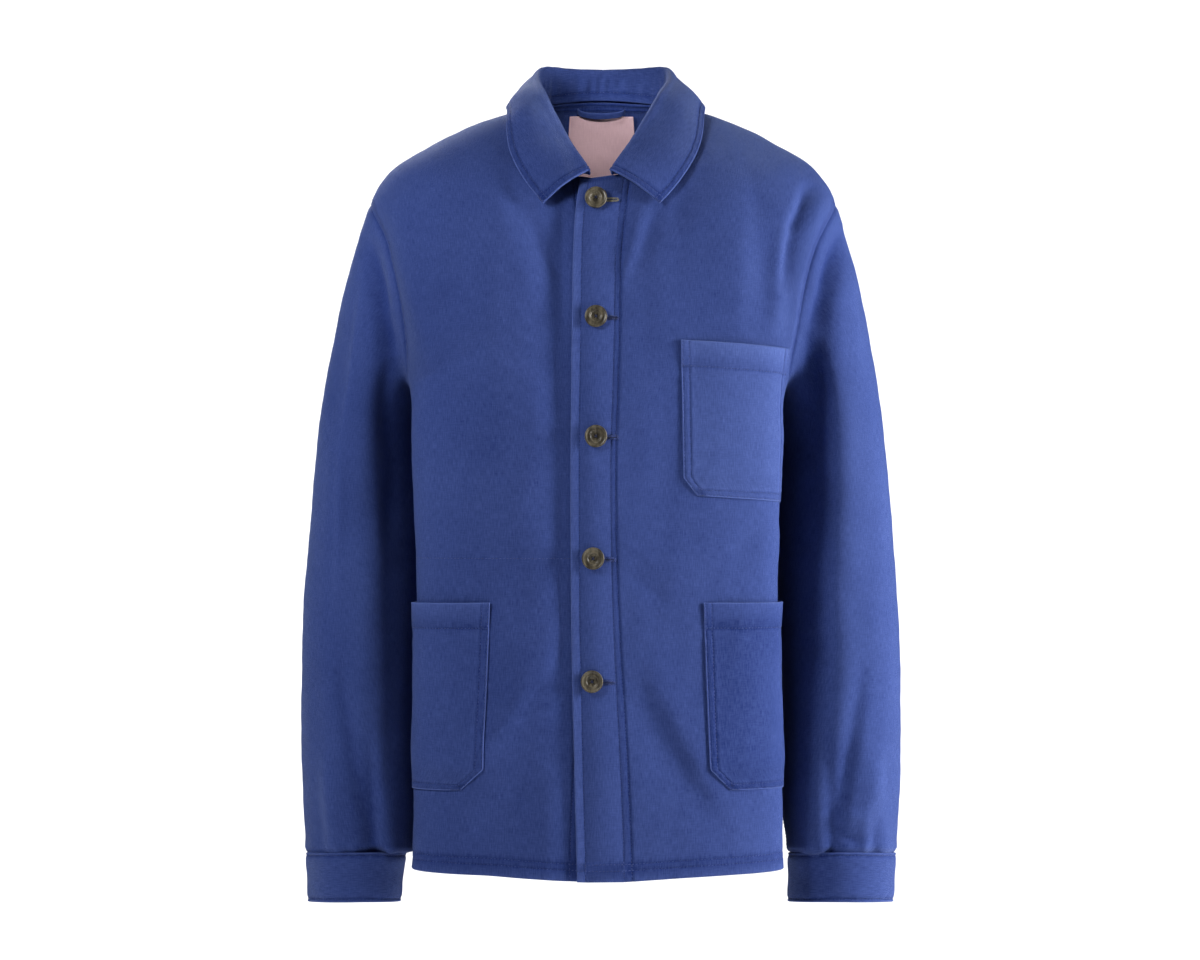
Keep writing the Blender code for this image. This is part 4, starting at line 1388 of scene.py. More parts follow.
def grain_group() -> bpy.types.NodeTree:
    """Horn: pale and dark streaks that run through the button, and fine dents.

    Returns:
        The group.
    """
    tree, graph, given, result = node_group(
        "horn_grain", [("Place", VECTOR)], [("Pale", FLOAT), ("Height", FLOAT)])
    drawn = graph.scaled(given["Place"], (1.0, 1.0, 0.32))
    bands = graph.noise(drawn, 230.0, 4.0)
    specks = graph.noise(given["Place"], 900.0, 2.0)
    mixed = graph.maths("MULTIPLY_ADD", specks, 0.25, bands)
    graph.put(result["Pale"], graph.ramp(mixed, 0.42, 0.82))
    graph.put(result["Height"], specks)
    return tree


class Groups(Enum):
    """The shared node groups, by the function that builds each."""

    WEAVE = "twill_weave"
    FADE = "washed_out"
    GRAIN = "horn_grain"

    def tree(self) -> bpy.types.NodeTree:
        """The group, built at its first use."""
        builders = {"twill_weave": weave_group, "washed_out": fade_and_shade_group, "horn_grain": grain_group}
        return bpy.data.node_groups.get(self.value) or builders[self.value]()

    def use(self, graph: Graph) -> bpy.types.Node:
        """Place the group in a material."""
        return graph.node("ShaderNodeGroup", node_tree=self.tree())


Colour = tuple[float, float, float, float]


def start_material(name: str) -> tuple[bpy.types.Material, Graph, bpy.types.Node]:
    """Start a material.

    Args:
        name: Its name.

    Returns:
        The material, its graph and its Principled shader.
    """
    made = bpy.data.materials.new(name)
    made.use_nodes = True
    return made, Graph(made.node_tree), made.node_tree.nodes["Principled BSDF"]


@dataclass(frozen=True)
class WovenFinish:
    """Brushed cotton: two tones of the dye, the weave's pitch and relief, and the sheen."""

    name: str
    deep: Colour
    pale: Colour
    pitch: float = 0.00085
    slub: float = 0.8
    amount: float = 0.45
    relief: float = 0.00020
    roughness: float = 0.82
    sheen: float = 0.14
    sheen_roughness: float = 0.45
    sheen_tint: Colour = (0.60, 0.72, 1.0, 1.0)

    def material(self) -> bpy.types.Material:
        """Build the material: the weave's streaks and the wear with its painted shade mix the
        two tones, and the weave's height gives the bump.

        Returns:
            The material.
        """
        made, graph, shader = start_material(self.name)
        flat = graph.node("ShaderNodeUVMap", uv_map="cloth").outputs[0]
        solid = graph.node("ShaderNodeTexCoord").outputs["Object"]
        wear_and_shade = graph.node("ShaderNodeAttribute", attribute_name="wear_and_shade").outputs["Fac"]
        weave = graph.feed(Groups.WEAVE.use(graph), Place=flat, Pitch=self.pitch, Slub=self.slub)
        fade = graph.feed(Groups.FADE.use(graph), Place=solid, Streak=weave.outputs["Streak"],
                          Wear=wear_and_shade, Amount=self.amount)
        colour = graph.blend(fade.outputs["Pale"], self.deep, self.pale)
        bump = graph.feed(graph.node("ShaderNodeBump"), Strength=0.7, Distance=self.relief,
                          Height=weave.outputs["Height"])
        graph.feed(shader, Base_Color=colour, Normal=bump.outputs[0], Roughness=self.roughness,
                   Sheen_Weight=self.sheen, Sheen_Roughness=self.sheen_roughness,
                   Sheen_Tint=self.sheen_tint, Specular_IOR_Level=0.25)
        return made


@dataclass(frozen=True)
class ThreadFinish:
    """Sewing thread: two tones that change from stitch to stitch."""

    name: str
    deep: Colour
    pale: Colour
    roughness: float = 0.6

    def material(self) -> bpy.types.Material:
        """Build the material: noise at a stitch's scale mixes the tones, fine ply gives bump.

        Returns:
            The material.
        """
        made, graph, shader = start_material(self.name)
        solid = graph.node("ShaderNodeTexCoord").outputs["Object"]
        tone = graph.ramp(graph.noise(solid, 420.0), 0.35, 0.65)
        colour = graph.blend(tone, self.deep, self.pale)
        bump = graph.feed(graph.node("ShaderNodeBump"), Strength=0.4, Distance=0.0001,
                          Height=graph.noise(solid, 5000.0))
        graph.feed(shader, Base_Color=colour, Normal=bump.outputs[0], Roughness=self.roughness,
                   Sheen_Weight=0.2, Specular_IOR_Level=0.3)
        return made


@dataclass(frozen=True)
class HornFinish:
    """Polished horn: two tones of its streaks."""

    name: str = "horn"
    deep: Colour = (0.026, 0.021, 0.014, 1.0)
    pale: Colour = (0.120, 0.104, 0.073, 1.0)
    roughness: float = 0.38

    def material(self) -> bpy.types.Material:
        """Build the material from the horn's grain.

        Returns:
            The material.
        """
        made, graph, shader = start_material(self.name)
        solid = graph.node("ShaderNodeTexCoord").outputs["Object"]
        grain = graph.feed(Groups.GRAIN.use(graph), Place=solid)
        bump = graph.feed(graph.node("ShaderNodeBump"), Strength=0.25, Distance=0.0001,
                          Height=grain.outputs["Height"])
        colour = graph.blend(grain.outputs["Pale"], self.deep, self.pale)
        graph.feed(shader, Base_Color=colour, Normal=bump.outputs[0], Roughness=self.roughness,
                   Specular_IOR_Level=0.5)
        return made


@dataclass(frozen=True)
class FloorFinish:
    """Matt pale floor: two near tones, and its glow towards the camera alone."""

    name: str = "floor_white"
    deep: Colour = (0.90, 0.90, 0.90, 1.0)
    pale: Colour = (0.93, 0.93, 0.93, 1.0)
    glow: float = 0.75

    def material(self) -> bpy.types.Material:
        """Build the material: a faint cloudiness over one pale tone.

        Returns:
            The material.
        """
        made, graph, shader = start_material(self.name)
        solid = graph.node("ShaderNodeTexCoord").outputs["Object"]
        tone = graph.blend(graph.noise(solid, 3.0), self.deep, self.pale)
        seen = graph.node("ShaderNodeLightPath").outputs["Is Camera Ray"]
        graph.feed(shader, Base_Color=tone, Roughness=0.9, Emission_Color=tone,
                   Emission_Strength=graph.maths("MULTIPLY", seen, self.glow))
        return made


@dataclass
class Finishes:
    """Every finish of the jacket, built once."""

    twill: bpy.types.Material
    rib: bpy.types.Material
    label: bpy.types.Material
    blue_thread: bpy.types.Material
    olive_thread: bpy.types.Material
    label_thread: bpy.types.Material
    horn: bpy.types.Material
    slit: bpy.types.Material

    @classmethod
    def build(cls) -> "Finishes":
        """Build all materials.

        Returns:
            The finishes.
        """
        deep, pale = (0.009, 0.026, 0.132, 1.0), (0.071, 0.108, 0.296, 1.0)
        return cls(
            twill=WovenFinish("twill_blue", deep, pale).material(),
            rib=WovenFinish("tape_blue", deep, pale, pitch=0.0006, relief=0.00008).material(),
            label=WovenFinish("label_pink", (0.620, 0.420, 0.450, 1.0), (0.780, 0.560, 0.590, 1.0),
                              pitch=0.0005, slub=0.4, relief=0.00006, sheen=0.1,
                              sheen_tint=(1.0, 0.9, 0.9, 1.0)).material(),
            blue_thread=ThreadFinish("thread_blue", (0.010, 0.023, 0.105, 1.0),
                                     (0.045, 0.072, 0.240, 1.0)).material(),
            olive_thread=ThreadFinish("thread_olive", (0.110, 0.100, 0.055, 1.0),
                                      (0.200, 0.180, 0.110, 1.0)).material(),
            label_thread=ThreadFinish("thread_pink", (0.340, 0.230, 0.260, 1.0),
                                      (0.500, 0.360, 0.390, 1.0)).material(),
            horn=HornFinish().material(),
            # Painted shade in the buttonholes' slits, and the dark thread of the buttons' crosses
            slit=ThreadFinish("slit_shade_and_dark_thread", (0.010, 0.014, 0.040, 1.0),
                              (0.016, 0.022, 0.060, 1.0), roughness=0.9).material())


# ---------------------------------------------------------------- body


def settled(points: Array, normals: Array, place: Layout, lines: Lines, relief: Array,
            side: int = 1, ring: bool = False) -> tuple[Array, Array, Array]:
    """Add relief and stitch channels to a surface, and work out its normals and its wear, with
    painted shade in the channels and fold troughs.

    Args:
        points: Surface points.
        normals: Their normals.
        place: The grid.
        lines: Stitch lines.
        relief: Further height at each point.
        side: Sign that turns the grid's normals outwards.
        ring: Whether the columns join up.

    Returns:
        Points, normals, and wear with painted shade.
    """
    dips = channels(place, lines, CHANNEL_DEPTH)
    points = points + (relief + dips)[..., None] * normals
    # Painted shade: stitch channels and fold troughs darker by their depth; ridges paler as worn cloth.
    wear_and_shade = CHANNEL_SHADE * dips + FOLD_SHADE * np.clip(relief, *FOLD_SHADE_LIMITS)
    return points, grid_normals(points, side, ring), wear_and_shade


def edge_seams(cloth: Cloth, place: Layout, lines: Lines) -> list[Seam]:
    """Stitch lines that run the whole length of a piece.

    Args:
        cloth: The piece.
        place: Its grid.
        lines: Their distances from its edges.

    Returns:
        The lines at its left, right, foot and head.
    """
    found = [cloth.column(nearest(place.left[0], line)) for line in lines.left]
    found += [cloth.column(nearest(place.right[0], line)) for line in lines.right]
    found += [cloth.row(nearest(place.foot[:, 0], line)) for line in lines.foot]
    return found + [cloth.row(nearest(place.head[:, 0], line)) for line in lines.head]


@dataclass
class Fronts:
    """Both fronts: the wearer's left one laps over the right one.

    Attributes:
        cell: Width and height of a grid cell.
        flat: Width and length of a front's cut; not used.
        area: Its flat area; not used.
        shoulder_line: Distance of the shoulder's stitching from its seam.
        pocket_z: Height of the inner pocket's foot.
        pressed: Wear of the upper front's doubled strip.
    """

    finishes: Finishes
    cell: tuple[float, float] = (0.0034, 0.0034)
    flat: tuple[float, float] = (0.30, 0.70)
    area: float = 0.155
    shoulder_line: float = 0.003
    pocket_z: float = -0.4195
    pressed: float = 0.5

    def surface(self, side: int) -> Surface:
        """The places of one front over the unit square, as points of the plain body."""
        return lambda across, up: plain_torso(*self.places(side, across, up))

    def places(self, side: int, across: Array, up: Array) -> tuple[Array, Array]:
        """Place one front on the body.

        Args:
            side: -1 on the right, 1 on the left.
            across, up: Shares of the unit square.

        Returns:
            Angles and levels.
        """
        angle, level = panel_places(front_start, ARMHOLE_FRONT, across, up)
        corner = ease(-angle / 0.2) * ease((level - SHOULDER) / (NECK - SHOULDER))
        return side * angle, level - CORNER_DROP * corner

    def lines(self) -> Lines:
        """Edge and facing lines, double armhole line, double hem line and shoulder line."""
        return Lines(left=(0.008, 0.042, 0.049), right=(0.003, 0.0065), foot=(0.010, 0.0156),
                     head=(self.shoulder_line,))

    def cloth(self, side: int) -> tuple[Cloth, Layout]:
        """Work out one front.

        Args:
            side: -1 on the right, 1 on the left.

        Returns:
            Its cloth and its grid.
        """
        lines = self.lines()
        place = lay_out(self.surface(side), lines, self.cell)
        angle, level = self.places(side, place.across, place.up)
        points, normals = worn_torso(angle, level)
        if side < 0:
            points = points - covered_depth(angle)[..., None] * normals
        relief = (doubled(place.left, FACING) + doubled(place.right, ARMHOLE_TURN, 0.0007)
                  + doubled(place.foot, HEM)
                  + roping(place.foot, place.left, reach=0.008, pitch=0.012, height=0.00025)
                  + roping(place.left, place.foot, reach=0.010, pitch=0.011, height=0.00055)
                  + roping(place.foot, place.right, reach=0.007, pitch=0.010, height=0.00030))
        points = in_valley(points, place.right, ARMHOLE_TURN)
        points, normals, wear_and_shade = settled(points, normals, place, lines, relief, side)
        wear_and_shade = wear_and_shade + 0.4 * edge_bell(place.left) + 0.7 * edge_bell(place.foot)
        if side > 0:
            wear_and_shade = wear_and_shade + self.pressed * (1.0 - ease((place.left - 0.040) / 0.006))
        return Cloth(points, normals, wear_and_shade, TWILL_THICK), place

    def build(self) -> None:
        """Build both fronts with their stitching."""
        for side, word in ((-1, "right"), (1, "left")):
            cloth, place = self.cloth(side)
            piece, sewn = sewn_piece(f"front_{word}", cloth, self.seams(side, cloth, place),
                                     self.finishes.twill, self.finishes.blue_thread)

    def seams(self, side: int, cloth: Cloth, place: Layout) -> list[Seam]:
        """All stitch lines of one front.

        Args:
            side: -1 on the right, 1 on the left.
            cloth: Its cloth.
            place: Its grid.

        Returns:
            The lines.
        """
        found = edge_seams(cloth, place, replace(self.lines(), head=()))
        found.append(cloth.row(nearest(place.head[:, -1], self.shoulder_line),
                               nearest(place.across[-1], NECK_SHARE)))
        if side < 0:
            found.append(self.inner_pocket(cloth, place))
        return found

    def inner_pocket(self, cloth: Cloth, place: Layout) -> Seam:
        """Stitch line of the inner pocket's foot, level across the right front.

        Args:
            cloth: The front's cloth.
            place: Its grid.

        Returns:
            The line.
        """
        first, last = nearest(place.left[0], 0.012), nearest(place.right[0], 0.020)
        face, path, out = cloth.face()[:, first:last], [], []
        for column_, height in zip(range(first, last), face[..., 2].T):
            path.append([np.interp(self.pocket_z, height, face[:, column_ - first, axis])
                         for axis in range(3)])
            out.append([np.interp(self.pocket_z, height, cloth.normals[:, column_, axis])
                        for axis in range(3)])
        return Seam(np.array(path), np.array(out))


def covered_depth(angle: Array) -> Array:
    """How far the covered front lies inside the body surface."""
    return UNDERLAP * ease((UNDERLAP_START - np.abs(angle)) / UNDERLAP_START * 1.6)


@dataclass
class Back:
    """The back in one piece, from side seam to side seam."""

    finishes: Finishes
    cell: tuple[float, float] = (0.0044, 0.0044)
    flat: tuple[float, float] = (0.56, 0.74)
    area: float = 0.35

    def places(self, across: Array, up: Array) -> tuple[Array, Array]:
        """Place the back on the body, from the left side seam to the right one.

        Args:
            across, up: Shares of the unit square.

        Returns:
            Angles and levels.
        """
        off = 1.0 - 2.0 * across
        angle, level = panel_places(np.zeros_like, ARMHOLE_BACK, np.abs(off), up)
        return math.pi - np.sign(off) * angle, level

    def build(self) -> None:
        """Build the back with its stitching."""
        lines = Lines(left=(0.003, 0.0065), right=(0.003, 0.0065), foot=(0.010, 0.0156),
                      head=(0.002, 0.007))
        place = lay_out(lambda across, up: plain_torso(*self.places(across, up)), lines, self.cell)
        points, normals = worn_torso(*self.places(place.across, place.up))
        sides = np.minimum(place.left, place.right)
        relief = (doubled(sides, SIDE_TURN) + doubled(place.foot, HEM)
                  + doubled(place.head, ARMHOLE_TURN)
                  + roping(place.left, place.foot, reach=0.010, pitch=0.011, height=0.00035)
                  + roping(place.foot, sides, reach=0.007, pitch=0.010, height=0.00022))
        points, normals, wear_and_shade = settled(points, normals, place, lines, relief)
        wear_and_shade = wear_and_shade + 0.7 * edge_bell(place.foot)
        cloth = Cloth(points, normals, wear_and_shade, TWILL_THICK)
        piece, sewn = sewn_piece("back", cloth, edge_seams(cloth, place, lines),
                                 self.finishes.twill, self.finishes.blue_thread)


# ---------------------------------------------------------------- sleeves and cuffs


@dataclass
class Sleeves:
    """Both sleeves, each one tube from the armhole to the cuff seam.

    Attributes:
        cell: Width and height of a grid cell.
        seam_turn: Where the underarm seam runs.
        reach: Share of the tube that is made, which ends inside the cuff.
        tuck: How far above its end the cloth is free of the cuff.
        tuck_depth: From the cuff's middle in to the sleeve's.
        draw_in: Height over which the end narrows into the cuff.
        crease_free: Distance from the head over which the creases come in.
        valley: Half the width of the armhole's fold on the sleeve.
        flat: Width and length of a sleeve's cut; not used.
        area: Its flat area; not used.
    """

    finishes: Finishes
    cell: tuple[float, float] = (0.0036, 0.0034)
    seam_turn: float = math.pi
    reach: float = 1.009
    tuck: float = 0.0060
    tuck_depth: float = 0.0026
    draw_in: float = 0.0030
    crease_free: float = 0.030
    valley: float = 0.026
    flat: tuple[float, float] = (0.40, 0.64)
    area: float = 0.195

    def relief(self, side: int, points: Array, turn: Array, along: Array, place: Layout) -> Array:
        """Height of folds, creases and gathers over the plain sleeve.

        Args:
            side: -1 on the right, 1 on the left.
            points: Points of the plain sleeve.
            turn: Turn of each, from the outside.
            along: Share of each, from the armhole.
            place: The grid.

        Returns:
            Heights.
        """
        lines = fold_lines(SLEEVE_FOLDS, lambda at, up: plain_sleeve(side, at, up))
        front = ease(0.5 + 1.1 * np.sin(turn))
        mirrored = points * np.array([side, 1.0, 1.0])
        creases = (crease_height(points, SLEEVE_CREASES[side]) * front
                   + crease_height(mirrored, SLEEVE_BACK_CREASES) * (1.0 - front))
        outside = 1.0 - 0.7 * ease(-np.cos(turn) * 1.5 - 0.3)
        above = place.foot - self.tuck
        gathers = (np.sin(11.0 * turn + 1.5 * np.sin(3.0 * turn)) * ease(above / 0.004)
                   * np.exp(-np.maximum(above, 0.0) / 0.010))
        puff = np.exp(-((above - 0.005) / 0.005) ** 2)
        past = np.maximum(place.head - SLEEVE_TUCK, 0.0)
        eased = np.sin(34.0 * turn + 2.0 * np.sin(5.0 * turn)) * np.exp(-place.head / 0.007)
        sunk_seam = np.exp(-((np.abs(turn - self.seam_turn)) * 0.045 / 0.0012) ** 2)
        return (fold_height(points, lines) * ease(along / FOLD_FREE)
                + creases * outside * ease(place.head / self.crease_free)
                + ripple(points) * ease(along / 0.1) + 0.0007 * gathers + 0.0006 * puff
                + 0.00030 * eased - 0.0012 * np.exp(-(past / 0.0022) ** 2)
                + 0.0003 * np.exp(-((place.head - 0.009) / 0.005) ** 2) - 0.0004 * sunk_seam)

    def cloth(self, side: int) -> Cloth:
        """Work out one sleeve. Its rows run up from the cuff seam.

        Args:
            side: -1 on the right, 1 on the left.

        Returns:
            Its cloth.
        """
        def surface(across: Array, up: Array) -> Array:
            """The plain sleeve over the unit square. Its end narrows into the cuff.

            Args:
                across, up: Shares of the unit square.

            Returns:
                Points.
            """
            turn, along = 2.0 * math.pi * across, self.reach * (1.0 - up)
            points = plain_sleeve(side, turn, along)
            down = (CUFF_TOP + CUFF_TILT * (CUFF_BACK_Y - CUFF_FRONT_Y) / 2 * np.sin(turn)
                    - points[..., 2]) / CUFF_HEIGHT
            band = cuff_ring(side, CUFF_RIGHT if side < 0 else CUFF_LEFT, turn, down)
            middle = band.mean(axis=-2, keepdims=True) if band.ndim > 1 else band
            inside = band - self.tuck_depth * unit((band - middle) * np.array([1.0, 1.0, 0.0]))
            share = ease(1.0 + down * CUFF_HEIGHT / self.draw_in)[..., None]
            return points + (inside - points) * share * np.array([1.0, 1.0, 0.0])

        lines = Lines(foot=(0.0035,), head=(0.0035,))
        place = lay_out(surface, lines, self.cell, ring=True)
        turn, along = 2.0 * math.pi * place.across, self.reach * (1.0 - place.up)
        points = surface(place.across, place.up)
        normals = grid_normals(points, -side, ring=True)
        relief = self.relief(side, points, turn, along, place)
        points = in_valley(points, place.head, self.valley)
        points, normals, wear_and_shade = settled(points, normals, place, Lines(), relief, -side, ring=True)
        # Painted shadow: the sleeve's head darker where it runs under the armhole's edge.
        wear_and_shade = wear_and_shade - 0.8 * edge_bell(np.maximum(place.head - SLEEVE_TUCK, 0.0) / 2.0)
        return Cloth(points, normals, wear_and_shade, TWILL_THICK, ring=True)

    def build(self) -> None:
        """Build both sleeves."""
        for side, word in ((-1, "right"), (1, "left")):
            cloth = self.cloth(side)
            middle = int(round(self.seam_turn / (2.0 * math.pi) * cloth.points.shape[1]))
            seams = [cloth.column(middle - 1), cloth.column(middle + 1)]
            piece, sewn = sewn_piece(f"sleeve_{word}", cloth, seams, self.finishes.twill,
                                     self.finishes.blue_thread)


@dataclass
class Cuffs:
    """Both cuffs, each a doubled band on the sleeve's end."""

    finishes: Finishes
    cell: tuple[float, float] = (0.0034, 0.0026)
    flat: tuple[float, float] = (0.29, 0.045)

    def build(self) -> None:
        """Build both cuffs with their stitching."""
        lines = Lines(foot=(0.003,), head=(0.0028,))
        for side, word, rims in ((-1, "right", CUFF_RIGHT), (1, "left", CUFF_LEFT)):
            def surface(across: Array, up: Array) -> Array:
                """The plain band over the unit square."""
                return cuff_ring(side, rims, 2.0 * math.pi * across, 1.0 - up)

            place = lay_out(surface, lines, self.cell, ring=True)
            points = surface(place.across, place.up)
            turn = 2.0 * math.pi * place.across
            edge = np.minimum(place.foot, place.head)
            around = place.across * 0.25
            relief = (0.0007 * np.sin(2.0 * turn + side) + 0.0004 * np.sin(5.0 * turn + 2.0)
                      + roping(around, edge, reach=0.010, pitch=0.011, height=0.00035)
                      + ripple(points) + 0.0004 * np.exp(-((edge - 0.009) / 0.006) ** 2))
            points, normals, wear_and_shade = settled(points, grid_normals(points, -side, True), place, lines,
                                            relief, -side, ring=True)
            wear_and_shade = wear_and_shade + 0.9 * edge_bell(place.foot) + 0.5 * edge_bell(place.head)
            cloth = Cloth(points, normals, wear_and_shade, DOUBLE_THICK, ring=True, crosswise=True)
            piece, sewn = sewn_piece(f"cuff_{word}", cloth, edge_seams(cloth, place, lines),
                                     self.finishes.twill, self.finishes.blue_thread)


# ---------------------------------------------------------------- collar


def collar_point(across: Array, up: Array) -> Array:
    """Collar surface: straight up the stand, over the roll by a cubic, then down the leaf.

    Args:
        across: Shares from the right front end (-1) to the left one (1).
        up: Shares from the neck seam (0) to the leaf's edge (1).

    Returns:
        Points.
    """
    side, along = np.sign(across), 1.0 - np.abs(across)
    side = np.where(side == 0.0, 1.0, side)
    station = {name: column(COLLAR, name, "along", along) for name in CollarStation._fields[1:]}
    foot = plain_torso(side * station["neck_angle"], np.full_like(along, NECK))
    foot = foot + np.array([0.0, 0.0, COLLAR_LIFT])
    roll_x = side * station["roll_x"] + station["shift"]
    roll = np.stack([roll_x, station["roll_y"], station["roll_z"]], axis=-1)
    edge_at = side * station["edge_angle"], station["edge_level"]
    lift = station["edge_lift"][..., None]
    edge = plain_torso(*edge_at) + lift * normal_of(plain_torso, *edge_at)
    width = (ROLL_WIDTH_FRONT + (ROLL_WIDTH - ROLL_WIDTH_FRONT) * ease(along / 0.4))[..., None]
    fall = (ROLL_FALL_FRONT + (ROLL_FALL - ROLL_FALL_FRONT) * ease(along / 0.4))[..., None]
    rising, falling = unit(roll - foot), unit(edge - roll)
    crest, apart = unit(rising - falling), unit(rising + falling)
    inner = roll - apart * width / 2 - crest * fall
    outer = roll + apart * width / 2 - crest * fall
    share = up[..., None]
    stand = foot + (inner - foot) * (share / STAND_SHARE)
    roll_share = np.clip((share - STAND_SHARE) / ROLL_SHARE, 0.0, 1.0)
    arch = hermite(inner, outer, unit(inner - foot) * 4 * fall, unit(edge - outer) * 4 * fall,
                   roll_share)
    leaf_share = (share - STAND_SHARE - ROLL_SHARE) / (1.0 - STAND_SHARE - ROLL_SHARE)
    rise = unit(apart - falling * np.sum(apart * falling, axis=-1, keepdims=True))
    leaf = outer + (edge - outer) * leaf_share + rise * LEAF_RISE * np.sin(math.pi * leaf_share)
    return np.where(share < STAND_SHARE, stand,
                    np.where(share < STAND_SHARE + ROLL_SHARE, arch, leaf))


@dataclass
class Collar:
    """The collar: stand, roll and leaf in one doubled piece.

    Attributes:
        cell: Width and height of a grid cell.
        flat: Width and length of its cut; not used.
        area: Its flat area; not used.
        stand_line: Distance of the stand's stitching from the neck seam.
        leaf_from: Share up the collar where its ends' stitching starts.
    """

    finishes: Finishes
    cell: tuple[float, float] = (0.0026, 0.0022)
    flat: tuple[float, float] = (0.52, 0.115)
    area: float = 0.048
    stand_line: float = 0.008
    leaf_from: float = 0.60

    def surface(self, across: Array, up: Array) -> Array:
        """Collar points over the unit square."""
        return collar_point(2.0 * across - 1.0, up)

    def relief(self, place: Layout, across: Array) -> Array:
        """Puckers of the stand, dents of the roll and a slow wave of the leaf.

        Args:
            place: The grid.
            across: Its shares from -1 to 1.

        Returns:
            Heights.
        """
        ends = np.minimum(place.left, place.right)
        leaf = ease((place.up - 0.62) / 0.1)
        stand = 1.0 - ease((place.up - 0.25) / 0.12)
        run = across * 0.26
        puckers = (np.sin(run * 470.0 + 2.0 * np.sin(run * 90.0)) * 0.6
                   + 0.4 * np.sin(run * 260.0 + 1.0))
        wave = 0.5 * np.sin(run * 61.0 + 0.7) + 0.5 * np.sin(run * 133.0 - 9.0 * place.up)
        return (0.0009 * puckers * stand * ease(place.foot / 0.010)
                + 0.0005 * wave * (0.4 + leaf) * ease(ends / 0.02)
                + doubled(place.head, COLLAR_TURN, 0.0004) * leaf
                + doubled(ends, COLLAR_TURN, 0.0004) * leaf
                + roping(run, place.head, reach=0.006, pitch=0.009, height=0.00022) * leaf
                + doubled(place.foot, self.stand_line, 0.0004))

    def build(self) -> None:
        """Build the collar with its stitching."""
        lines = Lines(left=EDGE_LINES, right=EDGE_LINES, foot=(self.stand_line,), head=EDGE_LINES)
        place = lay_out(self.surface, lines, self.cell)
        across = 2.0 * place.across - 1.0
        points = self.surface(place.across, place.up)
        plain = normal_of(collar_point, across, place.up)
        relief = self.relief(place, across)
        points, normals, wear_and_shade = settled(points, plain, place, lines, relief)
        sign = np.sign(np.sum(normals * plain, axis=-1).mean())
        ends = np.minimum(place.left, place.right)
        wear_and_shade = wear_and_shade + 0.9 * edge_bell(place.head) + 0.7 * edge_bell(ends)
        wear_and_shade = wear_and_shade + 0.25 * np.exp(-((place.up - 0.5) / 0.06) ** 2)
        cloth = Cloth(points, sign * normals, wear_and_shade, DOUBLE_THICK, crosswise=True)
        low = nearest(place.up[:, 0], self.leaf_from)
        seams = [cloth.row(nearest(place.head[:, 0], line), 1, -1) for line in lines.head]
        seams += [cloth.row(nearest(place.foot[:, 0], self.stand_line), 1, -1)]
        for line in lines.left:
            seams += [cloth.column(nearest(place.left[0], line), low, -1),
                      cloth.column(nearest(place.right[0], line), low, -1)]
        piece, sewn = sewn_piece("collar", cloth, seams, self.finishes.twill,
                                 self.finishes.blue_thread, Thread(width=0.00058))


# ---------------------------------------------------------------- pockets


class BodyMap:
    """Where a height and a distance round the body lie on its surface.

    Attributes:
        radius: Rough radius of the body, from which the search starts.
        turn_step: Stride with which an angle is found from a distance.
    """

    radius = 0.13
    turn_step = 0.15

    def __init__(self) -> None:
        """Measure the plain body's rings on a table of levels and angles."""
        self.levels, self.angles = np.linspace(0.0, 1.0, 101), np.linspace(0.0, math.pi, 181)
        angle, level = np.meshgrid(self.angles, self.levels)
        self.ring = run_along(plain_torso(angle, level), 1)

    def look_up(self, angle: Array, level: Array) -> Array:
        """Distance round the body from the front centre, blended between table entries.

        Args:
            angle, level: Places on the body.

        Returns:
            Distances.
        """
        row = np.clip(level * (len(self.levels) - 1), 0.0, len(self.levels) - 1.001)
        place = np.clip(angle / math.pi * (len(self.angles) - 1), 0.0, len(self.angles) - 1.001)
        low, left = row.astype(int), place.astype(int)
        up, across = row - low, place - left
        near = self.ring[low, left] * (1 - across) + self.ring[low, left + 1] * across
        far = self.ring[low + 1, left] * (1 - across) + self.ring[low + 1, left + 1] * across
        return near * (1 - up) + far * up

    def find(self, distance: Array, z: Array) -> tuple[Array, Array]:
        """Step towards the place at a distance and height until both hold.

        Args:
            distance: Distances round the body from the front centre.
            z: Heights.

        Returns:
            Angles and levels.
        """
        angle, level = distance / self.radius, (z - HEM_Z) / BODY_TALL
        for _ in range(SEARCH_STEPS):
            height = (column(TORSO, "front_z", "level", level) * np.cos(angle) ** 2
                      + column(TORSO, "side_z", "level", level) * np.sin(angle) ** 2)
            level = np.clip(level + (z - height) / LEVEL_STEP, 0.0, 1.0)
            angle = angle + (distance - self.look_up(angle, level)) / self.turn_step
        return angle, level


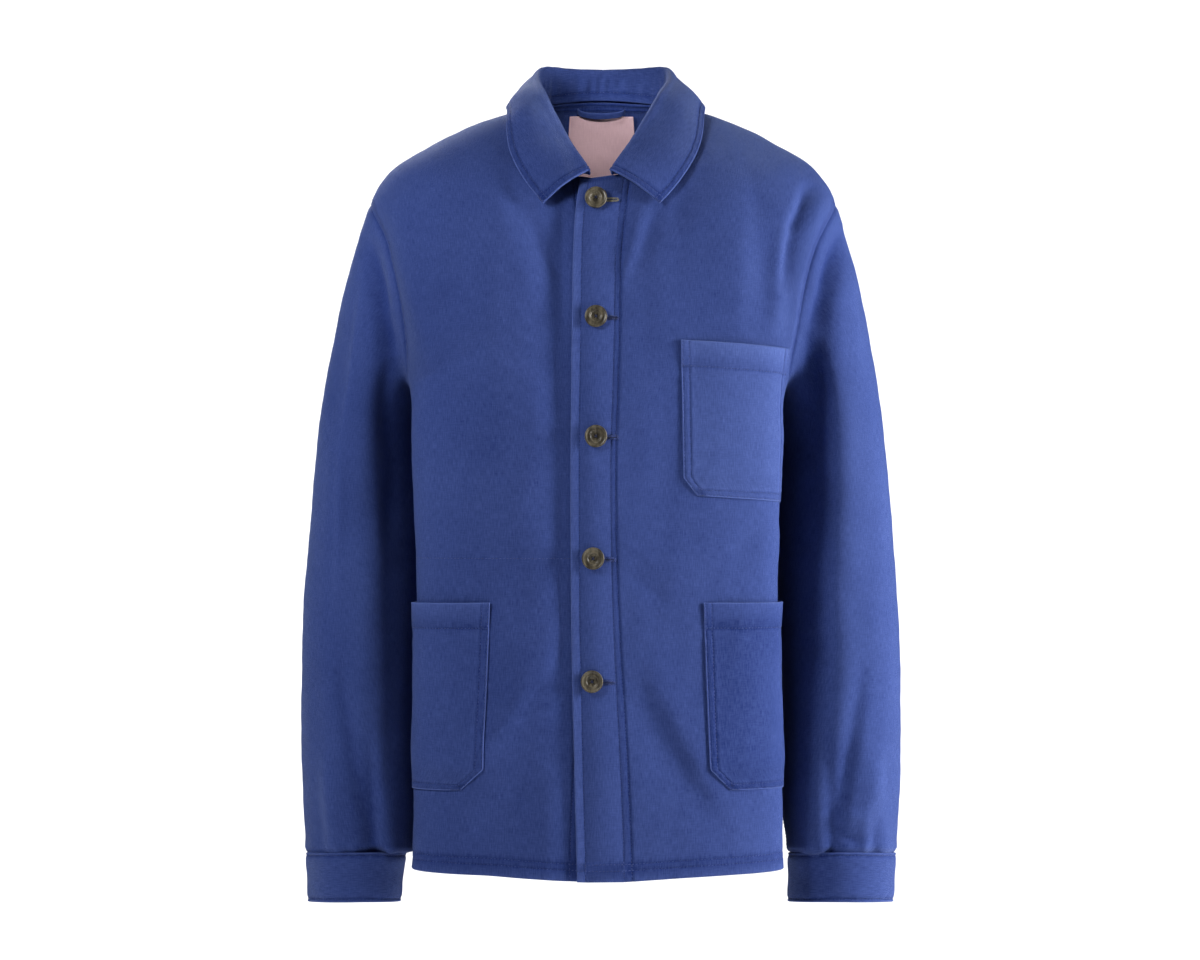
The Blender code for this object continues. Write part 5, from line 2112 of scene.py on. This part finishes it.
@dataclass
class Pockets:
    """The three patch pockets, each sewn down at its sides and foot and open at its top.

    Attributes:
        lines: The two lines of stitching along its sides and foot.
        hem: Distance of the top hem's stitching from the top.
        sewn_gap: From the front's middle to the pocket's at a sewn edge.
        open_gap: The same at the open top and in the pocket's middle.
    """

    finishes: Finishes
    cell: tuple[float, float] = (0.0026, 0.0026)
    lines: tuple[float, float] = (0.0015, 0.007)
    hem: float = 0.0225
    sewn_gap: float = 0.00165
    open_gap: float = 0.0034

    def surface(self, patch: Patch) -> Surface:
        """Lay a patch out flat.

        Args:
            patch: The pocket.

        Returns:
            Its surface: distance and height as (x, 0, z) over the unit square.
        """
        def found(across: Array, up: Array) -> Array:
            """Flat places of the patch: its inner edge leans and turns a corner.

            Args:
                across, up: Shares of the unit square.

            Returns:
                Places (x, 0, z).
            """
            tall = patch.top_z - patch.bottom_z
            turn = 1.0 - patch.chamfer_up / tall
            down = 1.0 - up
            inner = patch.inner_top + (patch.inner_bottom - patch.inner_top) * down
            inner = inner + patch.chamfer_across * np.clip((down - turn) / (1 - turn), 0.0, 1.0)
            distance = inner + (patch.outer - inner) * across
            z = patch.top_z - tall * down - patch.fall * across
            return np.stack([distance, np.zeros_like(z), z], -1)

        return found

    def cloth(self, side: int, patch: Patch, body: BodyMap) -> tuple[Cloth, Layout]:
        """Work out one pocket.

        Args:
            side: -1 on the right, 1 on the left.
            patch: The pocket.
            body: Distances on the body.

        Returns:
            Its cloth and its grid.
        """
        lines = Lines(left=self.lines, right=self.lines, foot=self.lines, head=(self.hem,))
        surface = self.surface(patch)
        place = lay_out(surface, lines, self.cell)
        flat = surface(place.across, place.up)
        angle, level = body.find(flat[..., 0], flat[..., 2])
        points, normals = worn_torso(side * angle, level)
        sewn = np.minimum(np.minimum(place.left, place.right), place.foot)
        top = ease(1.0 - place.head / 0.05)
        gap = self.sewn_gap + (self.open_gap - self.sewn_gap) * ease((sewn - 0.006) / 0.03)
        gap = gap + 0.0010 * top * ease(sewn / 0.03)
        run = place.left + place.foot
        relief = (gap + doubled(sewn, POCKET_TURN, 0.0004) + doubled(place.head, self.hem, 0.0005)
                  + roping(run, sewn, reach=POCKET_TURN, pitch=0.010, height=0.00028)
                  + roping(place.left, place.head, reach=self.hem, pitch=0.017, height=0.00030)
                  - 0.0007 * np.exp(-((place.head - self.hem - 0.006) / 0.005) ** 2))
        points, normals, _ = settled(points, normals, place, lines, relief, side)
        # Painted shade darkens the stitch channels by their depth; edges and turn-ins are worn paler.
        wear_and_shade = (CHANNEL_SHADE * channels(place, lines, CHANNEL_DEPTH) + 1.2 * edge_bell(place.edge())
                + 0.25 * doubled(sewn, POCKET_TURN, 1.0) + 0.2 * doubled(place.head, self.hem, 1.0)
                + patch.worn)
        return Cloth(points, normals, wear_and_shade, TWILL_THICK), place

    def build(self) -> None:
        """Build the pockets with their stitching."""
        body = BodyMap()
        for word, side, patch in (("chest", 1, CHEST_PATCH), ("left", 1, LEFT_PATCH),
                                  ("right", -1, RIGHT_PATCH)):
            cloth, place = self.cloth(side, patch, body)
            seams = []
            for line in self.lines:
                left, right = nearest(place.left[0], line), nearest(place.right[0], line)
                foot = nearest(place.foot[:, 0], line)
                seams += [cloth.column(left, foot), cloth.column(right, foot),
                          cloth.row(foot, left, right + 1)]
            seams.append(cloth.row(nearest(place.head[:, 0], self.hem), 1, -1))
            piece, sewn = sewn_piece(f"pocket_{word}", cloth, seams, self.finishes.twill,
                                     self.finishes.blue_thread)


# ---------------------------------------------------------------- neck trims


def back_places(width: float, height: float, top_z: float, across: Array,
                up: Array) -> tuple[Array, Array]:
    """Place a rectangle at the back centre.

    Args:
        width, height: Its sizes.
        top_z: Height of its top.
        across, up: Shares of the unit square.

    Returns:
        Angles and levels.
    """
    levels = np.linspace(SHOULDER, NECK, 101)
    heights = plain_torso(np.full_like(levels, math.pi), levels)[..., 2]
    level = np.interp(top_z - height * (1.0 - up), heights, levels)
    depth = column(TORSO, "back_y", "level", level) - column(TORSO, "side_y", "level", level)
    return math.pi - np.arctan(width * (across - 0.5) / depth), level


@dataclass
class NeckLabel:
    """The bare woven label, sewn all round to the back's inner face.

    Attributes:
        gap: From the back's inner face to the label.
        line: Distance of its stitching from its edges.
    """

    finishes: Finishes
    width: float = 0.0650
    height: float = 0.0700
    top_z: float = -0.0045
    gap: float = 0.0024
    line: float = 0.0020
    cell: tuple[float, float] = (0.0020, 0.0020)

    def build(self) -> None:
        """Build the label with its stitching."""
        def surface(across: Array, up: Array) -> Array:
            """The label on the plain body."""
            return plain_torso(*back_places(self.width, self.height, self.top_z, across, up))

        lines = Lines(*((self.line,) for _ in range(4)))
        place = lay_out(surface, lines, self.cell)
        at = back_places(self.width, self.height, self.top_z, place.across, place.up)
        points, normals = worn_torso(*at)
        inside = SOLID_CLOTH / 2 + self.gap + 0.0005
        edge = place.edge()
        relief = (roping(place.left + place.foot, edge, reach=0.006, pitch=0.008, height=0.00020)
                  - inside - 0.0005 * ease((edge - 0.003) / 0.012))
        points = points + relief[..., None] * normals
        normals = grid_normals(points, -1)
        points = points + channels(place, lines, 0.0002)[..., None] * -normals
        # Painted shade darkens the stitch channels; the edges are worn paler.
        wear_and_shade = 0.3 * edge_bell(edge) + 900.0 * channels(place, lines, 0.0003)
        cloth = Cloth(points, -normals, wear_and_shade, LABEL_THICK)
        foot, left = nearest(place.foot[:, 0], self.line), nearest(place.left[0], self.line)
        top, right = nearest(place.head[:, 0], self.line), nearest(place.right[0], self.line)
        seams = [cloth.row(foot, left, right + 1, -1), cloth.row(top, left, right + 1, -1),
                 cloth.column(left, foot, top + 1, -1), cloth.column(right, foot, top + 1, -1)]
        thread = Thread(pitch=0.0024, length=0.0020, width=0.00045, height=0.00035)
        piece, sewn = sewn_piece("neck_label", cloth, seams, self.finishes.label,
                                 self.finishes.label_thread, thread)


@dataclass
class HangerLoop:
    """The hanger loop: a tape across the back neck that stands off in its middle.

    Attributes:
        span: Between its sewn ends.
        strip: Length of the tape; not used.
        tape: Its width.
        top_z: Height of its upper edge at the ends.
        droop: How far its middle hangs lower.
        gap: From the back's inner face to its ends.
        stand: How far its middle stands off.
    """

    finishes: Finishes
    span: float = 0.0480
    strip: float = 0.0580
    tape: float = 0.0055
    top_z: float = 0.0030
    droop: float = 0.0030
    gap: float = 0.0016
    stand: float = 0.0080

    def build(self) -> None:
        """Build the loop: its middle line bows off the back by a sine's root."""
        across, up = np.meshgrid(np.linspace(0.0, 1.0, 61), np.linspace(0.0, 1.0, 9))
        at = back_places(self.span, self.tape, self.top_z, across, up)
        points, normals = worn_torso(*at)
        bow = np.sin(math.pi * across) ** 0.5
        inside = SOLID_CLOTH + self.gap + self.stand * bow
        crown = 0.0004 * np.sin(math.pi * up)
        points = points - (inside + crown)[..., None] * normals
        points[..., 2] -= self.droop * bow
        normals = grid_normals(points, 1)
        edge = np.minimum(up, 1.0 - up) * self.tape
        wear_and_shade = 0.6 * edge_bell(edge)
        cloth = Cloth(points, normals, wear_and_shade, TWILL_THICK, crosswise=True)
        seams = [cloth.row(1, side=-1), cloth.row(7, side=-1)]
        thread = Thread(pitch=0.0026, length=0.0021, width=0.00045, height=0.00035)
        piece, sewn = sewn_piece("hanger_loop", cloth, seams, self.finishes.rib,
                                 self.finishes.blue_thread, thread)


# ---------------------------------------------------------------- buttons


class Seat(NamedTuple):
    """A place on the left front with its frame: across, up and outwards."""

    place: Array
    across: Array
    up: Array
    out: Array

    def moved(self, points: Array) -> Array:
        """Points given in the seat's frame, in space."""
        return (self.place + points[..., :1] * self.across + points[..., 1:2] * self.up
                + points[..., 2:] * self.out)


def button_seat(x: float, z: float, lift: float) -> Seat:
    """Find the seat of a button on the left front.

    Args:
        x, z: Its place.
        lift: Its height over the cloth's middle.

    Returns:
        The seat.
    """
    level = np.array((z - HEM_Z) / BODY_TALL)
    for _ in range(SEARCH_STEPS):
        level = level + (z - column(TORSO, "front_z", "level", level)) / LEVEL_STEP
    angle = np.arctan(x / front_depth(level))
    place, _ = worn_torso(angle, level)
    out = normal_of(plain_torso, angle, level)
    across = unit(np.cross(np.array([0.0, 0.0, 1.0]), out))
    return Seat(place + out * lift, across, np.cross(out, across), out)


@dataclass
class Buttons:
    """Five turned horn buttons, sewn through four holes, with their buttonholes.

    Attributes:
        lift: Of the button's back over the middle of the cloth.
        profile: Height over the back face at each radius, both in metres.
        hole: Radius of a hole.
        hole_place: Its distance from the button's middle.
        hole_depth: Its depth.
        hole_wall: Width of its wall.
        spokes: Corners round the button.
        strand_gap: Between the strands of the cross.
        arch: Height of a strand over the back face, in its middle.
        arch_fall: How much lower its ends are.
        strand_over: How much higher the upper strands lie.
        hole_drop: How far the buttonhole's line lies below the button's middle.
        hole_lift: Its height over the middle of the cloth.
        start, end: Its ends, from the button's middle.
        lip: Half its height.
        bar: Half the length of a bar.
        bar_pitch: Between the bars.
        slit_middle, slit_reach, slit_half: Middle, half length and half height of the slit.
        slit_sunk: Depth of its body in the cloth.
    """

    finishes: Finishes
    lift: float = 0.0018
    profile: tuple[tuple[float, float], ...] = (
        (0.0000, 0.0019), (0.0034, 0.0020), (0.0042, 0.0022), (0.0048, 0.0030), (0.0054, 0.0032),
        (0.0060, 0.0029), (0.0070, 0.0028), (0.0080, 0.0030), (0.0088, 0.0034), (0.0094, 0.0034),
        (0.0098, 0.0030), (0.0100, 0.0020), (0.0098, 0.0010), (0.0090, 0.0003), (0.0070, 0.0000))
    hole: float = 0.00085
    hole_place: float = 0.0018
    hole_depth: float = 0.0011
    hole_wall: float = 0.00035
    spokes: int = 80
    strand_gap: float = 0.00032
    arch: float = 0.00225
    arch_fall: float = 0.0004
    strand_over: float = 0.0003
    hole_drop: float = 0.0012
    hole_lift: float = 0.00105
    start: float = -0.0020
    end: float = 0.0187
    lip: float = 0.0012
    bar: float = 0.00085
    bar_pitch: float = 0.00052
    slit_middle: float = 0.0085
    slit_reach: float = 0.0102
    slit_half: float = 0.0004
    slit_sunk: float = 0.0003

    def body(self) -> tuple[Array, Array]:
        """Turn the profile about its axis, close it by its two poles and press in four holes as
        bells.

        Returns:
            Corners and triangles.
        """
        radius, height = np.array(self.profile).T
        run = np.concatenate([[0.0], np.cumsum(np.hypot(np.diff(radius), np.diff(height)))])
        at = np.linspace(0.0, run[-1], 60)[1:]
        radius, height = np.interp(at, run, radius), np.interp(at, run, height)
        turn = np.linspace(0.0, 2.0 * math.pi, self.spokes + 1)[:-1]
        x, y = radius[:, None] * np.cos(turn), radius[:, None] * np.sin(turn)
        upper = (at < run[-5])[:, None]
        dip = np.zeros_like(x)
        for quarter in range(4):
            way = math.pi / 4 + quarter * math.pi / 2
            hole = self.hole_place * math.cos(way), self.hole_place * math.sin(way)
            away = np.hypot(x - hole[0], y - hole[1])
            dip += self.hole_depth * (1.0 - ease((away - self.hole * 0.7) / self.hole_wall))
        z = height[:, None] - dip * upper
        corners = np.concatenate([[[0.0, 0.0, self.profile[0][1]]],
                                  np.stack([x, y, z], -1).reshape(-1, 3), [[0.0, 0.0, 0.0]]])
        spoke = np.arange(self.spokes)
        after = (spoke + 1) % self.spokes
        first = 1 + np.arange(len(at) - 1)[:, None] * self.spokes
        quads = np.stack([first + spoke, first + self.spokes + spoke, first + self.spokes + after,
                          first + after], -1).reshape(-1, 4)
        faces = np.concatenate([quads[:, [0, 1, 2]], quads[:, [0, 2, 3]],
                                np.stack([np.zeros_like(spoke), 1 + spoke, 1 + after], -1),
                                np.stack([np.full_like(spoke, len(corners) - 1),
                                          len(corners) - 1 - self.spokes + after,
                                          len(corners) - 1 - self.spokes + spoke], -1)])
        return corners, faces

    def sewn_cross(self, seat: Seat) -> list[Seam]:
        """Strands of the cross between the holes, each an arch over the button's well.

        Args:
            seat: The button's seat.

        Returns:
            A seam for each strand.
        """
        share, found = np.linspace(-1.0, 1.0, 9)[:, None], []
        for way, over in ((math.pi / 4, 0.0), (-math.pi / 4, self.strand_over)):
            line = np.array([math.cos(way), math.sin(way)])
            aside = np.array([-math.sin(way), math.cos(way)])
            height = self.arch - self.arch_fall * share ** 4 + over
            for off in (-self.strand_gap, 0.0, self.strand_gap):
                flat = share * self.hole_place * line + off * aside
                found.append(Seam(seat.moved(np.concatenate([flat, height], 1)),
                                  np.repeat(seat.out[None], len(share), 0)))
        return found

    def buttonhole(self, x: float, z: float) -> tuple[list[Seam], tuple[Array, Array]]:
        """Bars of the buttonhole's two lips and its rounded end, and the slit between them.

        Args:
            x: Sideways place of the button.
            z: Its height.

        Returns:
            One short seam per bar, and the slit's corners and faces.
        """
        seat = button_seat(x, z - self.hole_drop, self.hole_lift)
        bars = [(at, lip * self.lip, 0.0, 1.0)
                for at in np.arange(self.start, self.end, self.bar_pitch) for lip in (-1.0, 1.0)]
        bars += [(self.end + self.lip * math.cos(way), self.lip * math.sin(way), math.cos(way),
                  math.sin(way)) for way in np.linspace(-1.2, 1.2, 6)]
        found = []
        for across, up, run_x, run_y in bars:
            line = np.array([[-1.0], [0.0], [1.0]]) * self.bar * np.array([[run_x, run_y, 0.0]])
            found.append(Seam(seat.moved(line + np.array([[across, up, 0.0]])),
                              np.repeat(seat.out[None], 3, 0)))
        return found, self.slit(seat)

    def slit(self, seat: Seat) -> tuple[Array, Array]:
        """The slit as a low dark oval body, which is painted shade in the cut: a rim in the cloth,
        one just over it, and two middles.

        Args:
            seat: The buttonhole's seat.

        Returns:
            Its corners and triangles.
        """
        turn = np.linspace(0.0, 2.0 * math.pi, 25)[:-1]
        oval = np.stack([self.slit_middle + self.slit_reach * np.cos(turn),
                         self.slit_half * np.sin(turn)], -1)
        count, low = len(turn), -self.slit_sunk
        rims = [np.concatenate([oval, np.full((count, 1), z)], 1) for z in (low, 0.00002)]
        middles = [[self.slit_middle, 0.0, z] for z in (low, 0.00006)]
        corners = np.concatenate([*rims, middles])
        ring = np.arange(count)
        after, low_middle, high_middle = (ring + 1) % count, 2 * count, 2 * count + 1
        faces = [(ring, after, count + after), (ring, count + after, count + ring),
                 (count + ring, count + after, np.full(count, high_middle)),
                 (after, ring, np.full(count, low_middle))]
        return seat.moved(corners), np.concatenate([np.stack(face, -1) for face in faces])

    def build(self) -> None:
        """Build the buttons, their crosses and their buttonholes."""
        corners, faces = self.body()
        cross = Thread(pitch=0.0036, length=0.0036, width=0.00042, height=0.00042, sunk=0.0,
                       slant=0.0)
        bar = Thread(pitch=0.0016, length=0.0020, width=0.00050, height=0.00050, slant=0.0)
        for number, (x, z) in enumerate(zip(BUTTON_X, BUTTON_Z), start=1):
            seat = button_seat(x, z, self.lift)
            mesh = make_mesh(f"horn_button_{number}", seat.moved(corners), faces)
            mesh.set_sharp_from_angle(angle=math.radians(60))
            piece = place_piece(f"horn_button_{number}", mesh, self.finishes.horn)
            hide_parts(f"button_{number}")
            cross.sew(f"thread_button_{number}", self.sewn_cross(seat), self.finishes.slit)
            bars, slit = self.buttonhole(x, z)
            finish = self.finishes.olive_thread if number == 1 else self.finishes.blue_thread
            bar.sew(f"thread_buttonhole_{number}", bars, finish)
            # A dark oval of painted shade in the buttonhole's slit
            place_piece(f"buttonhole_shade_{number}", make_mesh(f"buttonhole_shade_{number}", *slit),
                        self.finishes.slit)


# ---------------------------------------------------------------- studio


class Lamp(NamedTuple):
    """A soft light: where it hangs, what it faces, its width and height, and its watts."""

    name: str
    place: Point
    target: Point
    size: tuple[float, float]
    power: float


SOFT_LIGHTS = (
    Lamp("key", (1.92, -0.46, -0.14), (0.0, -0.05, -0.35), (0.4, 1.0), 66.0),
    Lamp("fill", (-0.92, -0.86, 0.34), (0.0, -0.05, -0.25), (0.4, 0.5), 16.5),
    Lamp("top", (0.2, -0.8, 1.5), (0.0, 0.0, -0.30), (1.2, 0.8), 1.5),
    Lamp("back", (-0.6, 2.0, 1.0), (0.0, 0.05, -0.40), (0.9, 0.7), 40.0),
)


@dataclass
class Studio:
    """Pale floor, soft light and the camera.

    Attributes:
        distance: Of the camera from the jacket's middle plane.
        aside: Of the camera from the middle.
        height: Of the camera's level line.
        width: Of the view at the middle plane.
        sensor: Width of the camera's sensor, in millimetres.
        floor_z: Height of the floor.
        floor_reach: Of the floor to the front and the sides.
        floor_behind: Of the floor behind the jacket.
        surroundings: Strength of the white surroundings as light.
        neck_place: Where the narrow lamp hangs, which reaches into the neck.
        neck_target: What it faces.
        neck_power: Its watts.
        neck_soft: Its radius.
        neck_spread: Its cone, in degrees.
    """

    distance: float = 3.2
    aside: float = -0.00092
    height: float = -0.35
    width: float = 1.104
    sensor: float = 36.0
    floor_z: float = -1.0
    floor_reach: float = 6.0
    floor_behind: float = 1.4
    surroundings: float = 0.04
    neck_place: Point = (0.0, -1.6, 0.25)
    neck_target: Point = (0.0, 0.08, -0.012)
    neck_power: float = 75.0
    neck_soft: float = 0.03
    neck_spread: float = 4.8

    def camera(self) -> None:
        """A level camera straight in front."""
        lens = bpy.data.cameras.new("camera")
        lens.sensor_width = self.sensor
        lens.lens = self.sensor * self.distance / self.width
        seen = bpy.data.objects.new("camera", lens)
        seen.location = (self.aside, -self.distance, self.height)
        seen.rotation_euler = (math.pi / 2, 0.0, 0.0)
        bpy.context.scene.collection.objects.link(seen)
        bpy.context.scene.camera = seen

    def floor(self) -> None:
        """A pale floor under the jacket."""
        reach, behind = self.floor_reach, self.floor_behind
        corners = np.array([(-reach, -reach, self.floor_z), (reach, -reach, self.floor_z),
                            (reach, behind, self.floor_z), (-reach, behind, self.floor_z)])
        mesh = make_mesh("floor", corners, np.array([[0, 1, 2, 3]]))
        mesh.materials.append(FloorFinish().material())
        floor = bpy.data.objects.new("floor", mesh)
        bpy.context.scene.collection.objects.link(floor)

    def hang(self, light: bpy.types.Light, place: Point, target: Point) -> None:
        """Hang a light.

        Args:
            light: Its data.
            place, target: Where it hangs and what it faces.
        """
        lamp = bpy.data.objects.new(light.name, light)
        lamp.location = place
        lamp.rotation_euler = aimed(unit(np.array(target) - np.array(place)))
        bpy.context.scene.collection.objects.link(lamp)

    def lights(self) -> None:
        """Hang the soft lights and the narrow lamp."""
        for lamp in SOFT_LIGHTS:
            light = bpy.data.lights.new(lamp.name, "AREA")
            light.shape = "RECTANGLE"
            light.size, light.size_y = lamp.size
            light.energy = lamp.power
            self.hang(light, lamp.place, lamp.target)
        light = bpy.data.lights.new("neck", "SPOT")
        light.energy, light.shadow_soft_size = self.neck_power, self.neck_soft
        light.spot_size, light.spot_blend = math.radians(self.neck_spread), 1.0
        self.hang(light, self.neck_place, self.neck_target)

    def backdrop(self) -> None:
        """White surroundings: full white where seen, softer as light."""
        world = bpy.data.worlds.new("studio")
        bpy.context.scene.world = world
        world.use_nodes = True
        graph = Graph(world.node_tree)
        shader = world.node_tree.nodes["Background"]
        seen = graph.node("ShaderNodeLightPath").outputs["Is Camera Ray"]
        strength = graph.maths("MULTIPLY_ADD", seen, 1.0, self.surroundings)
        graph.feed(shader, Color=(1.0, 1.0, 1.0, 1.0), Strength=strength)

    def build(self) -> None:
        """Set up camera, floor, light and surroundings, with plain tones as a camera gives."""
        bpy.context.scene.view_settings.view_transform = "Standard"
        bpy.context.scene.view_settings.look = "Medium High Contrast"
        self.camera()
        self.floor()
        self.backdrop()
        self.lights()


def aimed(way: Array) -> tuple[float, float, float]:
    """Turns that point a lamp, which shines down its own -Z, along a direction."""
    return (math.acos(-way[2]), 0.0, math.atan2(-way[0], way[1]))


def main() -> None:
    """Build the jacket and the studio."""
    logging.basicConfig(level=logging.INFO, format="%(name)s: %(message)s")
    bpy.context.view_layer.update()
    finishes = Finishes.build()
    for group in (Fronts, Back, Sleeves, Cuffs, Collar, Pockets, NeckLabel, HangerLoop, Buttons):
        group(finishes).build()
    Studio().build()


if __name__ == "__main__":
    main()
